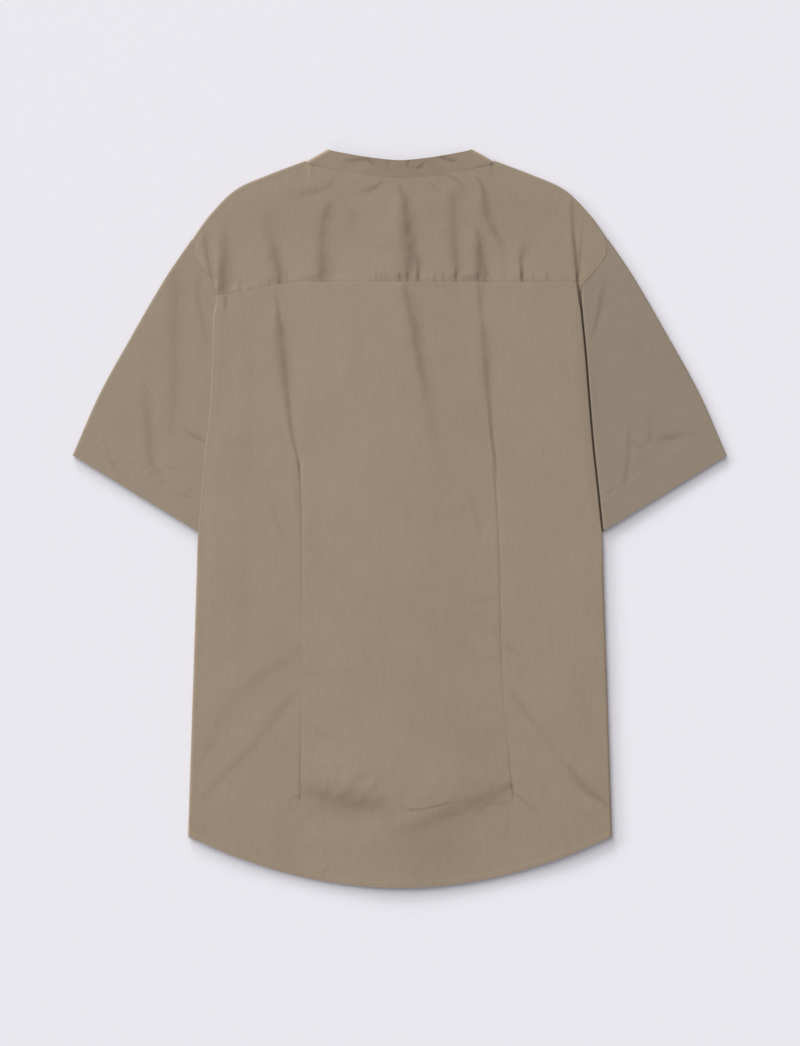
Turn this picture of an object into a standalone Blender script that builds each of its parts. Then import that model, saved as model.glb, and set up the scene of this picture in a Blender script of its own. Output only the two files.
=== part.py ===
"""A short-sleeved shirt with a mandarin collar, laid flat on its front, so that its back is up.

Metres, +Z up. The shirt lies on z = 0, the collar points along +Y, and the wearer's right is +X.
Each piece of cloth is an open surface, worked out from the named curves and tables below, which
Solidify gives its thickness. The layers, from the floor up: buttons, placket, fronts, sleeves where
they are tucked under the body, and the back and yoke on top, rolling round the sides and shoulders.
"""

import math

import bmesh
import bpy
from mathutils import Vector

# ---------------------------------------------------------------- driving dimensions, in metres
WALL = 0.001                # thickness of the cloth
GAP = 0.0003                # between two pieces that meet
HALF_LENGTH = 0.399         # half of collar top to hem
SEAM_INSET = 0.00025        # each piece stops this far from its seam line
YOKE_SEAM_INSET = 0.0004    # and this far where the cloth is folded across the seam

BAND_HEIGHT = 0.022         # collar band, from seam to upper edge
BAND_WALL = 0.0014          # interlined, so thicker than the rest
BAND_RISE = 0.008           # how far the back of the band stands up
LAP_TURN = math.radians(5)  # how far each end passes the centre front, as a turn round the neck

NECK_HALF = 0.1015          # neck point, from the centre line
NECK_Y = 0.387
NECK_BACK_Y = 0.3676        # collar seam at the centre back
NECK_FRONT_Y = 0.2905       # collar seam at the centre front
BAND_TOP_HALF = 0.0778      # the band's folded corners, from the centre line
BAND_TOP_BACK_Y = 0.3866    # its upper edge at the centre back
BAND_TOP_FRONT_Y = NECK_FRONT_Y + 0.023

YOKE_SEAM_Y = 0.2560        # straight across the middle of the back
YOKE_SEAM_DROP = 0.0150     # how far its left end falls away
YOKE_FRONT_CORNER = (0.0965, 0.357)   # where yoke, front and collar meet
YOKE_FRONT_END_Y = 0.2834   # where yoke, front and sleeve meet

SIDE_TOP = (0.2185, -0.0125)          # underarm end of the visible side
SIDE_FOOT = (0.2294, -0.3430)         # corner of the hem
HEM_CENTRE_Y = -HALF_LENGTH
SIDE_TUCK = 0.012           # what rolls under at the sides
LIE_ON_CUFF = (-0.062, -0.032)        # from here up what rolls under lies on the sleeve
LEAVE_FRONT = (0.060, 0.090)          # and from here up the front's edge is back on the floor
ARMHOLE_ROLL = 0.0013       # radius of the body's edge where it rolls over a sleeve
ROLL_LENGTH = 0.036         # over this length below the yoke seam the edge turns under
LEAST_TURN = math.radians(8)
UNDERARM_Y = 0.075          # where armhole, side and sleeve seams meet

SLEEVE_TIP = (0.354, 0.068)           # outer end of the sleeve opening
CUFF_Y = -0.0205            # where the sleeve opening ends, under the body
SHOULDER = (0.2236, 0.3035)           # armhole seam on the shoulder fold
CORNER_REACH = 0.012        # the armhole seam bends in to the shoulder fold over this length

PLACKET_HALF = 0.016
PLACKET_RISE = 0.004        # placket and fronts are a little shorter than the back
PLACKET_Z = 0.0026          # middle of its thickness: it lies on the buttons
MARGIN_Z = 0.0039           # right front's margin, over the placket
BUTTON_RADIUS = 0.0055
BUTTON_THICKNESS = 0.0018
BUTTON_COUNT = 6
BUTTON_FIRST_Y = 0.222
BUTTON_SPACING = 0.092

FLOOR_Z = WALL / 2          # middle of a wall that lies on the floor
TUCKED_Z = 0.0018           # upper layer of a sleeve where the body lies on it
ROLLED_Z = 0.0031           # what rolls under the body, on top of that
SLEEVE_Z = 0.0050           # upper layer of a sleeve elsewhere
FLAT_Z = 0.0047             # back of the shirt where it lies on the fronts alone
SIDE_Z = 0.0056             # near its rolled sides
MIDDLE_Z = 0.0066           # and over the placket, which is a thicker pile
ROLL_INSET = (SLEEVE_Z - FLOOR_Z) / 2 + WALL / 2      # from the shoulder fold to where it starts

# ---------------------------------------------------------------- outline curves: rows of x, y
# Shoulder and outer fold of the sleeve, from neck point to sleeve tip.
SHOULDER_LINE = (
    # x,     y
    (0.1015, 0.3870),
    (0.1440, 0.3708),
    (0.1790, 0.3546),
    (0.2061, 0.3276),
    (0.2236, 0.3035),
    (0.2520, 0.2620),
    (0.2890, 0.1990),
    (0.3255, 0.1330),
    (0.3540, 0.0680),
)

# Edge of the body where it lies on the sleeves: rows of y, half width on the left, on the right.
BODY_EDGE = (
    # y,      left,   right
    (-0.0125, 0.2185, 0.2180),
    (0.0400, 0.2140, 0.2125),
    (0.0780, 0.2105, 0.2084),
    (0.1170, 0.2060, 0.2050),
    (0.1820, 0.2030, 0.1998),
    (0.2210, 0.2020, 0.1960),
    (0.2400, 0.2000, 0.1950),
    (0.2570, 0.2030, 0.2020),
    (0.2640, 0.2085, 0.2080),
    (0.2834, 0.2215, 0.2225),
    (0.3035, 0.2236, 0.2236),
)

# The two contour darts of the back: rows of y, distance from the centre line on each side.
DARTS = (
    # y,      left,   right
    (-0.3010, 0.1080, 0.1220),
    (-0.1760, 0.1078, 0.1102),
    (-0.0340, 0.1068, 0.1068),
    (0.0680, 0.1100, 0.1005),
    (0.2560, 0.1330, 0.0860),
)
DART_TOP_Y = 0.068
DART_FOOT_Y = -0.301
DART_DEPTH = 0.0010
DART_WIDTH = 0.004

# Soft folds of the back and yoke. Each runs from (x0, y0) to (x1, y1): width is the distance
# from its middle to where it fades, and height is positive on a ridge and negative in a trough.
BODY_FOLDS = (
    # x0,     y0,     x1,     y1,     width,  height
    (-0.138, 0.245, -0.110, 0.060, 0.012, -0.0022),
    (-0.162, 0.240, -0.128, 0.020, 0.020, 0.0018),
    (-0.191, 0.300, -0.189, 0.190, 0.010, -0.0024),
    (-0.199, 0.308, -0.200, 0.215, 0.007, 0.0012),
    (-0.081, 0.335, -0.079, 0.255, 0.013, -0.0020),
    (-0.060, 0.290, -0.055, 0.150, 0.020, 0.0014),
    (0.004, 0.355, 0.013, 0.258, 0.012, -0.0014),
    (0.006, 0.253, 0.022, 0.150, 0.016, -0.0012),
    (0.036, 0.300, 0.040, 0.110, 0.022, 0.0016),
    (0.060, 0.352, 0.060, 0.262, 0.012, -0.0014),
    (0.084, 0.365, 0.108, 0.300, 0.014, -0.0018),
    (0.087, 0.250, 0.101, 0.070, 0.013, -0.0018),
    (0.128, 0.285, 0.126, 0.120, 0.022, 0.0020),
    (0.174, 0.330, 0.180, 0.262, 0.009, 0.0016),
    (0.188, 0.335, 0.196, 0.262, 0.007, -0.0014),
    (-0.112, -0.150, -0.150, -0.178, 0.012, -0.0014),
    (-0.114, -0.186, -0.215, -0.300, 0.015, -0.0022),
    (-0.150, -0.190, -0.222, -0.245, 0.018, 0.0016),
    (0.115, -0.182, 0.222, -0.305, 0.015, -0.0022),
    (0.150, -0.175, 0.220, -0.230, 0.018, 0.0016),
    (-0.104, -0.290, -0.014, -0.316, 0.016, -0.0020),
    (0.005, -0.316, 0.052, -0.309, 0.009, -0.0016),
    (0.043, -0.333, 0.119, -0.300, 0.016, -0.0018),
    (-0.090, -0.330, 0.090, -0.340, 0.024, 0.0018),
    (-0.102, -0.163, -0.020, -0.166, 0.014, -0.0012),
    (-0.070, -0.098, 0.030, -0.104, 0.018, -0.0012),
    (0.058, -0.085, 0.105, -0.080, 0.014, -0.0012),
    (-0.100, -0.020, -0.040, -0.030, 0.014, -0.0012),
)

# Folds of the sleeves, mirrored to x > 0, one table for each.
SLEEVE_FOLDS = {
    "left": (
        # x0,    y0,    x1,    y1,    width,  height
        (0.243, 0.245, 0.246, 0.110, 0.014, -0.0012),
        (0.275, 0.085, 0.252, 0.048, 0.010, -0.0016),
        (0.232, 0.088, 0.212, 0.102, 0.009, -0.0014),
        (0.300, 0.130, 0.290, 0.070, 0.016, 0.0012),
    ),
    "right": (
        (0.222, 0.255, 0.214, 0.210, 0.010, -0.0014),
        (0.286, 0.066, 0.254, 0.062, 0.010, -0.0016),
        (0.252, 0.060, 0.216, 0.022, 0.010, -0.0014),
        (0.262, 0.190, 0.278, 0.090, 0.018, 0.0012),
    ),
}

SIDES = {"left": -1, "right": 1}


# ---------------------------------------------------------------- small helpers
def mix(a, b, t):
    return a + (b - a) * t


def ease(low, high, value):
    """0 below low, 1 above high, and a smooth step between."""
    t = min(1.0, max(0.0, (value - low) / (high - low)))
    return t * t * (3 - 2 * t)


def read_curve(rows, key, column=1):
    """The value of a column at a key, on a smooth curve through the rows, which rise by key."""
    keys = [row[0] for row in rows]
    values = [row[column] for row in rows]
    key = min(keys[-1], max(keys[0], key))
    i = 0
    while i < len(keys) - 2 and key > keys[i + 1]:
        i += 1

    def slope(k):
        before, after = max(k - 1, 0), min(k + 1, len(keys) - 1)
        return (values[after] - values[before]) / (keys[after] - keys[before])

    step = keys[i + 1] - keys[i]
    t = (key - keys[i]) / step
    start, end = slope(i) * step, slope(i + 1) * step
    return (
        (2 * t**3 - 3 * t**2 + 1) * values[i]
        + (t**3 - 2 * t**2 + t) * start
        + (3 * t**2 - 2 * t**3) * values[i + 1]
        + (t**3 - t**2) * end
    )


def patch(bottom, top, inner, outer, c, r):
    """A point of the flat patch between four edge curves, which meet at its corners."""
    across = bottom(c) * (1 - r) + top(c) * r
    along = inner(r) * (1 - c) + outer(r) * c
    corners = (
        bottom(0) * (1 - c) * (1 - r)
        + bottom(1) * c * (1 - r)
        + top(0) * (1 - c) * r
        + top(1) * c * r
    )
    return across + along - corners


def fold_height(folds, x, y):
    """The sum of all soft folds at a place."""
    total = 0.0
    for x0, y0, x1, y1, width, height in folds:
        along = Vector((x1 - x0, y1 - y0))
        away = Vector((x - x0, y - y0))
        t = away.dot(along) / along.length_squared
        if not -0.25 < t < 1.25:
            continue
        off = abs(away.cross(along)) / along.length / width
        if off < 1.6:
            ends = ease(-0.25, 0.25, t) * (1 - ease(0.75, 1.25, t))
            total += height * ends * math.exp(-2 * off * off)
    return total


# ---------------------------------------------------------------- the shirt's shape
def shoulder_y(x):
    return read_curve(SHOULDER_LINE, x)


def side_x(y, side):
    """Half width of the body at a height, to the outer surface of its rolled edge."""
    if y > SIDE_TOP[1]:
        return read_curve(BODY_EDGE, y, 1 if side < 0 else 2)
    t = (SIDE_TOP[1] - y) / (SIDE_TOP[1] - SIDE_FOOT[1])
    return mix(SIDE_TOP[0], SIDE_FOOT[0], t)


def tuck_top(side):
    """Where the body's edge starts to roll over the sleeve: at the end of the yoke seam."""
    return yoke_seam_y(side * 0.2)


def roll_turn(y, side):
    """How far the body's edge has turned under: hardly at the yoke seam, then half a circle."""
    top = tuck_top(side)
    return mix(LEAST_TURN, math.pi, 1 - ease(top - ROLL_LENGTH, top, y))


def roll_radius(radius, turn):
    """Radius of an edge that has turned this far; radius is its radius at half a circle."""
    if turn < math.pi / 2:
        return radius * math.pi / turn
    return radius * 2 / (1 - math.cos(turn))


def armhole_x(y, side):
    """The seam between body and sleeve, or the side seam below the underarm."""
    turn = roll_turn(y, side)
    hidden = 0
    if turn > math.pi / 2:
        hidden = roll_radius(ARMHOLE_ROLL, turn) * (1 - math.sin(turn))
    low = tuck_top(side) - ROLL_LENGTH
    flat = (SIDE_TUCK - ARMHOLE_ROLL - WALL / 2) * (1 - ease(low - 0.080, low, y))
    return side_x(y, side) - WALL / 2 - hidden - flat


def shoulder_corner():
    """Where the armhole seam starts to turn over the shoulder fold."""
    return Vector(SHOULDER) - shoulder_out(SHOULDER[0]) * ROLL_INSET


def shoulder_seam_x(y, side):
    """The armhole seam, with its last stretch bent in to the shoulder fold."""
    corner = shoulder_corner()
    bend = ease(corner.y - CORNER_REACH, corner.y, y)
    return armhole_x(y, side) + (corner.x - armhole_x(corner.y, side)) * bend


def hem_y(x):
    drop = SIDE_FOOT[1] - HEM_CENTRE_Y
    return HEM_CENTRE_Y + drop * (x / SIDE_FOOT[0]) ** 2


def shoulder_out(x):
    """Direction straight out of the shoulder line, in plan."""
    step = 0.0005
    x = min(max(x, NECK_HALF + step), SLEEVE_TIP[0] - step)
    return Vector((shoulder_y(x - step) - shoulder_y(x + step), 2 * step)).normalized()


def neck_back_y(x, end):
    """The collar seam across the back, from the centre to where the shoulder starts to roll."""
    return NECK_BACK_Y + (end.y - NECK_BACK_Y) * abs(x / end.x) ** 1.8


def yoke_seam_y(x):
    return YOKE_SEAM_Y - YOKE_SEAM_DROP * ease(0.10, 0.21, -x)


def dart_x(y, side):
    return read_curve(DARTS, y, 1 if side < 0 else 2)


def body_z(x, y):
    """Middle of the wall of back and yoke."""
    near_collar = ease(0.280, 0.350, y)
    z = mix(FLAT_Z, SIDE_Z, max(near_collar, ease(0.130, 0.190, abs(x))))
    z = mix(MIDDLE_Z, z, ease(0.030, mix(0.065, 0.100, near_collar), abs(x)))
    z += fold_height(BODY_FOLDS, x, y)
    side = -1 if x < 0 else 1
    if DART_FOOT_Y - 0.02 < y < DART_TOP_Y + 0.02:
        off = (abs(x) - dart_x(y, side)) / DART_WIDTH
        length = ease(DART_FOOT_Y - 0.02, DART_FOOT_Y + 0.02, y)
        length *= 1 - ease(DART_TOP_Y - 0.03, DART_TOP_Y + 0.02, y)
        z -= DART_DEPTH * length * math.exp(-2 * off * off)
    shoulder = ease(0.150, 0.205, abs(x)) * ease(0.235, 0.275, y)
    z = mix(z, SLEEVE_Z, shoulder)
    clear = FLOOR_Z + WALL + GAP
    if abs(x) < 0.030:
        clear = MARGIN_Z + WALL + GAP
    return max(z, clear + 0.0004)


def sleeve_z(x, y, side):
    """Middle of the wall of a sleeve's upper layer."""
    top = tuck_top(side)
    off_body = abs(x) - side_x(min(y, top - 0.016), side)
    clear = max(ease(0.004, 0.035, off_body), ease(top - 0.014, top + 0.010, y))
    name = "left" if side < 0 else "right"
    folds = fold_height(SLEEVE_FOLDS[name], abs(x), y)
    return mix(TUCKED_Z, SLEEVE_Z + folds, clear)


# ---------------------------------------------------------------- making objects
def clear_scene():
    for obj in list(bpy.data.objects):
        bpy.data.objects.remove(obj, do_unlink=True)


def cloth_material(name, colour, roughness):
    material = bpy.data.materials.new(name)
    material.use_nodes = True
    shader = material.node_tree.nodes["Principled BSDF"]
    shader.inputs["Base Color"].default_value = (*colour, 1)
    shader.inputs["Roughness"].default_value = roughness
    shader.inputs["Metallic"].default_value = 0.0
    return material


def sheet(name, columns, rows, place, material, wall=WALL, leave_out=None, ring=False):
    """A piece of cloth: a grid warped by place(column, row), then given its thickness."""
    bm = bmesh.new()
    bmesh.ops.create_grid(bm, x_segments=len(columns) - 1, y_segments=len(rows) - 1, size=0.5)
    spots = {}
    for index, vert in enumerate(bm.verts):
        r, c = divmod(index, len(columns))
        vert.co = place(columns[c], rows[r])
        spots[vert] = (columns[c], rows[r])
    if leave_out:
        gone = [f for f in bm.faces if all(leave_out(*spots[v]) for v in f.verts)]
        bmesh.ops.delete(bm, geom=gone, context="FACES")
    if ring:
        bmesh.ops.remove_doubles(bm, verts=bm.verts, dist=1e-6)
    bmesh.ops.recalc_face_normals(bm, faces=bm.faces)
    mesh = bpy.data.meshes.new(name)
    bm.to_mesh(mesh)
    bm.free()
    mesh.materials.append(material)
    mesh.shade_smooth()
    obj = bpy.data.objects.new(name, mesh)
    parts.objects.link(obj)
    thick = obj.modifiers.new("wall", "SOLIDIFY")
    thick.thickness = wall
    thick.offset = 0
    thick.use_even_offset = True
    return obj


def spread(low, high, count):
    return [mix(low, high, i / (count - 1)) for i in range(count)]


# Columns and rows from 1 to 2 belong to a rolled edge, which turns and then lies flat beneath.
ROLL_STEPS = [1.12, 1.26, 1.40, 1.55, 1.70, 1.85, 2.0]
ROLL_END = 1.70


def rolled(c, start, top_z, radius, turn, seam):
    """A point of the body's rolled edge: start is where it turns, seam is where it ends beneath.
    Returns its distance from the centre line and its height."""
    straight = max(0.0, start + radius * math.sin(turn) - seam)
    turn_share = mix(1.0, ROLL_END - 1, min(1.0, straight / 0.004))
    t = min(1.0, (c - 1) / turn_share)
    x = start + radius * math.sin(turn * t)
    if c - 1 > turn_share:
        x -= straight * (c - 1 - turn_share) / (1 - turn_share)
    return x, top_z - radius * (1 - math.cos(turn * t))


# ---------------------------------------------------------------- back
def back_point(c, r):
    """c runs from side to side, with the rolled edges past -1 and 1; r from hem to yoke seam."""
    side = -1 if c < 0 else 1
    across = abs(c)
    edge_y = mix(SIDE_FOOT[1], YOKE_SEAM_Y, r)
    for _ in range(3):      # the edge's place along the side depends on where it starts to roll
        edge = side_x(edge_y, side)
        turn = roll_turn(edge_y, side)
        under_z = mix(FLOOR_Z, ROLLED_Z, ease(*LIE_ON_CUFF, edge_y))
        top_z = body_z(side * (edge - 0.004), edge_y)
        radius = roll_radius((top_z - under_z) / 2, turn)
        start = edge - WALL / 2 - radius * math.sin(min(turn, math.pi / 2))
        edge_y = mix(hem_y(start), yoke_seam_y(side * start) - YOKE_SEAM_INSET, r)
    flat = min(across, 1.0)
    dart = dart_x(edge_y, side)
    x = dart * flat / 0.5 if flat < 0.5 else mix(dart, start, (flat - 0.5) / 0.5)
    y = mix(hem_y(x), yoke_seam_y(side * x) - YOKE_SEAM_INSET, r)
    if across <= 1:
        z = mix(body_z(side * x, y), top_z, ease(0.93, 1.0, flat))
        return Vector((side * x, y, z))
    seam = armhole_x(edge_y, side) + (GAP if edge_y < UNDERARM_Y else 0)
    x, z = rolled(across, start, top_z, radius, turn, seam)
    return Vector((side * x, edge_y, z))


def make_back(material):
    half = [0.10, 0.20, 0.30, 0.40, 0.46, 0.482, 0.50, 0.518, 0.54, 0.62, 0.72, 0.82, 0.92, 1.0]
    half += ROLL_STEPS
    columns = [-c for c in reversed(half)] + [0] + half
    rows = [0, 0.08, 0.16, 0.24, 0.32, 0.40, 0.45, 0.48, 0.51, 0.55, 0.60, 0.65, 0.70, 0.75, 0.80]
    rows += [0.84, 0.875, 0.90, 0.92, 0.937, 0.95, 0.962, 0.974, 0.987, 1.0]
    sheet("back", columns, rows, back_point, material)


# ---------------------------------------------------------------- yoke
NECK_SHARE = 0.5            # columns up to here end at the collar, the others roll over the shoulder
NECK_ROLL = Vector((NECK_HALF, NECK_Y)) - shoulder_out(NECK_HALF) * ROLL_INSET


def yoke_point(c, r):
    """c runs from armhole to armhole; r from the yoke seam up, with the shoulder's roll past 1."""
    side = -1 if c < 0 else 1
    across = abs(c)
    foot_end = armhole_x(tuck_top(side), side) - SEAM_INSET
    foot = Vector((across * foot_end, yoke_seam_y(side * across * foot_end) + YOKE_SEAM_INSET))
    if across < NECK_SHARE:
        x = NECK_ROLL.x * across / NECK_SHARE
        head = Vector((x, neck_back_y(x, NECK_ROLL) - SEAM_INSET))
        point = foot.lerp(head, min(r, 1.0))
        return Vector((side * point.x, point.y, body_z(side * point.x, point.y)))

    t = (across - NECK_SHARE) / (1 - NECK_SHARE)
    radius = (SLEEVE_Z - FLOOR_Z) / 2
    x = mix(NECK_HALF, SHOULDER[0], t)
    out = shoulder_out(x)
    head = Vector((x - SEAM_INSET * t, shoulder_y(x))) - out * ROLL_INSET
    if 1 < r <= ROLL_END:
        turn = math.pi * (r - 1) / (ROLL_END - 1)
        point = head + out * radius * math.sin(turn)
        return Vector((side * point.x, point.y, FLOOR_Z + radius * (1 + math.cos(turn))))

    end = shoulder_corner() - Vector((SEAM_INSET, 0))
    if r > 1:
        low_end = Vector((armhole_x(YOKE_FRONT_END_Y, side) - 2 * SEAM_INSET, YOKE_FRONT_END_Y))
        low = Vector(YOKE_FRONT_CORNER).lerp(low_end, t) + out * SEAM_INSET
        share = (2 - r) / (2 - ROLL_END)
    else:
        low_end, low, share = Vector((foot_end, foot.y)), foot, r
    point = low.lerp(head, share)
    seam_x = shoulder_seam_x(mix(low_end.y, end.y, share), side) - 1.5 * SEAM_INSET
    point.x += (seam_x - mix(low_end.x, end.x, share)) * ease(NECK_SHARE, 1.0, across)
    z = FLOOR_Z
    if r <= 1:
        z = mix(body_z(side * point.x, point.y), SLEEVE_Z, ease(0.80, 1.0, r))
    return Vector((side * point.x, point.y, z))


def make_yoke(material):
    half = [0.08, 0.16, 0.24, 0.32, 0.42, NECK_SHARE, 0.58, 0.66, 0.73, 0.79, 0.85, 0.90, 0.95, 1.0]
    columns = [-c for c in reversed(half)] + [0] + half
    rows = [0, 0.08, 0.18, 0.30, 0.44, 0.57, 0.64, 0.70, 0.78, 0.86, 0.93, 1.0] + ROLL_STEPS
    sheet(
        "yoke", columns, rows, yoke_point, material,
        leave_out=lambda c, r: r >= 1 and abs(c) <= NECK_SHARE,
    )


# ---------------------------------------------------------------- fronts and placket
def neck_front(turn):
    """The front neckline, an ellipse round the neck: turn is 0 at the centre front."""
    depth = NECK_Y - NECK_FRONT_Y
    return Vector((NECK_HALF * math.sin(turn), NECK_Y - depth * math.cos(turn)))


STRIP = 0.25                # columns up to here run straight up beside the placket
STRIP_X = 0.042
SHOULDER_SHARE = 0.5        # columns from here on end at the yoke
YOKE_TURN = math.acos((NECK_Y - YOKE_FRONT_CORNER[1]) / (NECK_Y - NECK_FRONT_Y))


def front_point(c, r, side, inner_x):
    """c runs from the centre front to the side; r from the hem up."""
    side_foot = Vector((armhole_x(SIDE_FOOT[1], side), SIDE_FOOT[1] + PLACKET_RISE))
    shoulder_end = Vector((armhole_x(YOKE_FRONT_END_Y, side), YOKE_FRONT_END_Y))
    shoulder_end -= Vector((SEAM_INSET, 2 * SEAM_INSET))
    lower = Vector((0, -SEAM_INSET))

    def bottom(c):
        x = mix(inner_x, STRIP_X, c / STRIP)
        if c > STRIP:
            x = mix(STRIP_X, side_foot.x - SEAM_INSET, (c - STRIP) / (1 - STRIP))
        return Vector((x, hem_y(x) + PLACKET_RISE))

    def top(c):
        if c < STRIP:
            x = mix(inner_x, STRIP_X, c / STRIP)
            return neck_front(math.asin(x / NECK_HALF)) + lower
        if c < SHOULDER_SHARE:
            start = math.asin(STRIP_X / NECK_HALF)
            return neck_front(mix(start, YOKE_TURN, (c - STRIP) / (SHOULDER_SHARE - STRIP))) + lower
        corner = neck_front(YOKE_TURN) + lower * 2
        return corner.lerp(shoulder_end, (c - SHOULDER_SHARE) / (1 - SHOULDER_SHARE))

    def inner(r):
        return Vector((inner_x, mix(bottom(0).y, top(0).y, r)))

    def outer(r):
        y = mix(side_foot.y, shoulder_end.y, r)
        return Vector((armhole_x(y, side) - SEAM_INSET, y))

    point = patch(bottom, top, inner, outer, c, r)
    if c <= STRIP:
        point.x = bottom(c).x
    edge_lift = ease(*LIE_ON_CUFF, point.y) * (1 - ease(*LEAVE_FRONT, point.y))
    z = mix(FLOOR_Z, ROLLED_Z, edge_lift * ease(0.93, 1.0, c))
    centre_z = PLACKET_Z if side < 0 else MARGIN_Z
    z = mix(centre_z, z, ease(PLACKET_HALF + 0.002, STRIP_X, point.x))
    return Vector((side * point.x, point.y, z))


def make_front(side, material):
    name = "front_left" if side < 0 else "front_right"
    inner_x = PLACKET_HALF + GAP if side < 0 else -PLACKET_HALF
    strip = [0.018, 0.024, 0.030, 0.036, STRIP_X]
    if side > 0:
        strip = [0.0, PLACKET_HALF] + strip
    columns = [0] + [STRIP * (x - inner_x) / (STRIP_X - inner_x) for x in strip]
    columns += [0.31, 0.38, 0.44, SHOULDER_SHARE, 0.60, 0.70, 0.80, 0.90, 0.945, 0.97, 1.0]
    rows = [0, 0.10, 0.20, 0.30, 0.38, 0.44, 0.47, 0.50, 0.55, 0.60, 0.64, 0.67, 0.70, 0.74]
    rows += [0.78, 0.82, 0.85, 0.875, 0.90, 0.915, 0.931, 0.945, 0.957, 0.97, 0.985, 1.0]
    sheet(name, columns, rows, lambda c, r: front_point(c, r, side, inner_x), material)


def make_placket(material):
    def place(c, r):
        top = NECK_FRONT_Y - SEAM_INSET
        y = mix(hem_y(0) + PLACKET_RISE, top, r)
        return Vector((c * PLACKET_HALF, y, PLACKET_Z))

    sheet("front_placket", [-1, 0, 1], spread(0, 1, 15), place, material)


# ---------------------------------------------------------------- collar band
BAND_BACK = 0.36            # columns within this are the back of the band
BAND_FOLD = 0.48            # and from here on its fronts, with the side folds between
BAND_OUT = Vector((0.449, 0.894))     # straight out of its folded sides, in plan
BAND_ROLL = 0.0029          # radius of the side folds
BAND_SEAM = 0.0005          # the band's edge to the neckline


def band_back(t, r):
    """t is 0 at the centre back and 1 where the band starts to fold."""
    inset = BAND_OUT * (BAND_ROLL + BAND_WALL / 2)
    end = Vector((NECK_HALF - 0.0012, NECK_Y)) - inset
    x = t * end.x
    low = Vector((x, neck_back_y(x, end) + BAND_SEAM))
    end = Vector((BAND_TOP_HALF, HALF_LENGTH)) - inset
    high = Vector((t * end.x, mix(BAND_TOP_BACK_Y, end.y, t ** 1.5)))
    return low.lerp(high, r)


def band_front(turn, r):
    """turn is 0 at the centre front and a quarter circle where the band starts to fold."""
    fold = ease(math.radians(60), math.radians(85), turn)
    low_end, high_end = band_back(1, 0), band_back(1, 1)
    depth = NECK_Y - NECK_FRONT_Y - BAND_SEAM
    low = Vector((
        (NECK_HALF - BAND_SEAM) * math.sin(turn) + (low_end.x - NECK_HALF + BAND_SEAM) * fold,
        NECK_Y - depth * math.cos(turn) + (low_end.y - NECK_Y) * fold,
    ))
    depth = high_end.y - BAND_TOP_FRONT_Y
    high = Vector((high_end.x * math.sin(turn), high_end.y - depth * math.cos(turn)))
    return low.lerp(high, r)


def band_point(c, r):
    """c goes round the neck, from one end at the centre front over the back to the other."""
    side = -1 if c < 0 else 1
    across = abs(c)
    fold_z = MIDDLE_Z - 0.0008 + 0.35 * BAND_RISE * r
    floor_z = BAND_WALL / 2
    if across <= BAND_BACK:
        t = across / BAND_BACK
        point = band_back(t, r)
        z = mix(MIDDLE_Z + BAND_RISE * r, fold_z, ease(0.2, 1.0, t))
    elif across <= BAND_FOLD:
        t = (across - BAND_BACK) / (BAND_FOLD - BAND_BACK)
        point = band_back(1, r) + BAND_OUT * BAND_ROLL * math.sin(math.pi * t)
        z = mix(floor_z, fold_z, (1 + math.cos(math.pi * t)) / 2)
    else:
        quarter = math.pi / 2
        turn = mix(quarter, -LAP_TURN, (across - BAND_FOLD) / (1 - BAND_FOLD))
        point = band_front(turn, r)
        lap_z = BUTTON_THICKNESS + GAP + BAND_WALL / 2
        if side > 0:
            lap_z += BAND_WALL + GAP
        z = mix(lap_z, floor_z, ease(2.2 * LAP_TURN, 4.5 * LAP_TURN, turn))
    return Vector((side * point.x, point.y, z))


def make_band(material):
    half = [0.06, 0.12, 0.18, 0.24, 0.30, 0.36, 0.384, 0.408, 0.432, 0.456, 0.48]
    half += [0.54, 0.60, 0.66, 0.72, 0.78, 0.83, 0.88, 0.92, 0.96, 1.0]
    columns = [-c for c in reversed(half)] + [0] + half
    sheet("collar_band", columns, [0, 0.33, 0.67, 1.0], band_point, material, wall=BAND_WALL)


# ---------------------------------------------------------------- sleeves
INNER_ROLL = (TUCKED_Z - FLOOR_Z) / 2  # radius of the sleeve's fold under the body


def sleeve_outline(side):
    """The four plan edges of a sleeve's layers: armhole, opening, outer and inner edge."""
    cuff_x = armhole_x(CUFF_Y, side) + GAP + INNER_ROLL + WALL / 2

    def outer(r):
        x = mix(SHOULDER[0], SLEEVE_TIP[0], r)
        spot = Vector((x, shoulder_y(x))) - shoulder_out(x) * ROLL_INSET
        return spot + Vector((SEAM_INSET * (1 - r), 0))

    def inner(r):
        y = mix(UNDERARM_Y, CUFF_Y, r)
        return Vector((armhole_x(y, side) + GAP + INNER_ROLL + WALL / 2, y))

    def armhole(c):
        y = mix(outer(0).y, UNDERARM_Y, c)
        fold = (GAP - SEAM_INSET + INNER_ROLL + WALL / 2) * ease(0.8, 1.0, c)
        return Vector((shoulder_seam_x(y, side) + SEAM_INSET + fold, y))

    def opening(c):
        return outer(1).lerp(Vector((cuff_x, CUFF_Y)), c)

    return armhole, opening, outer, inner


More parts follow.
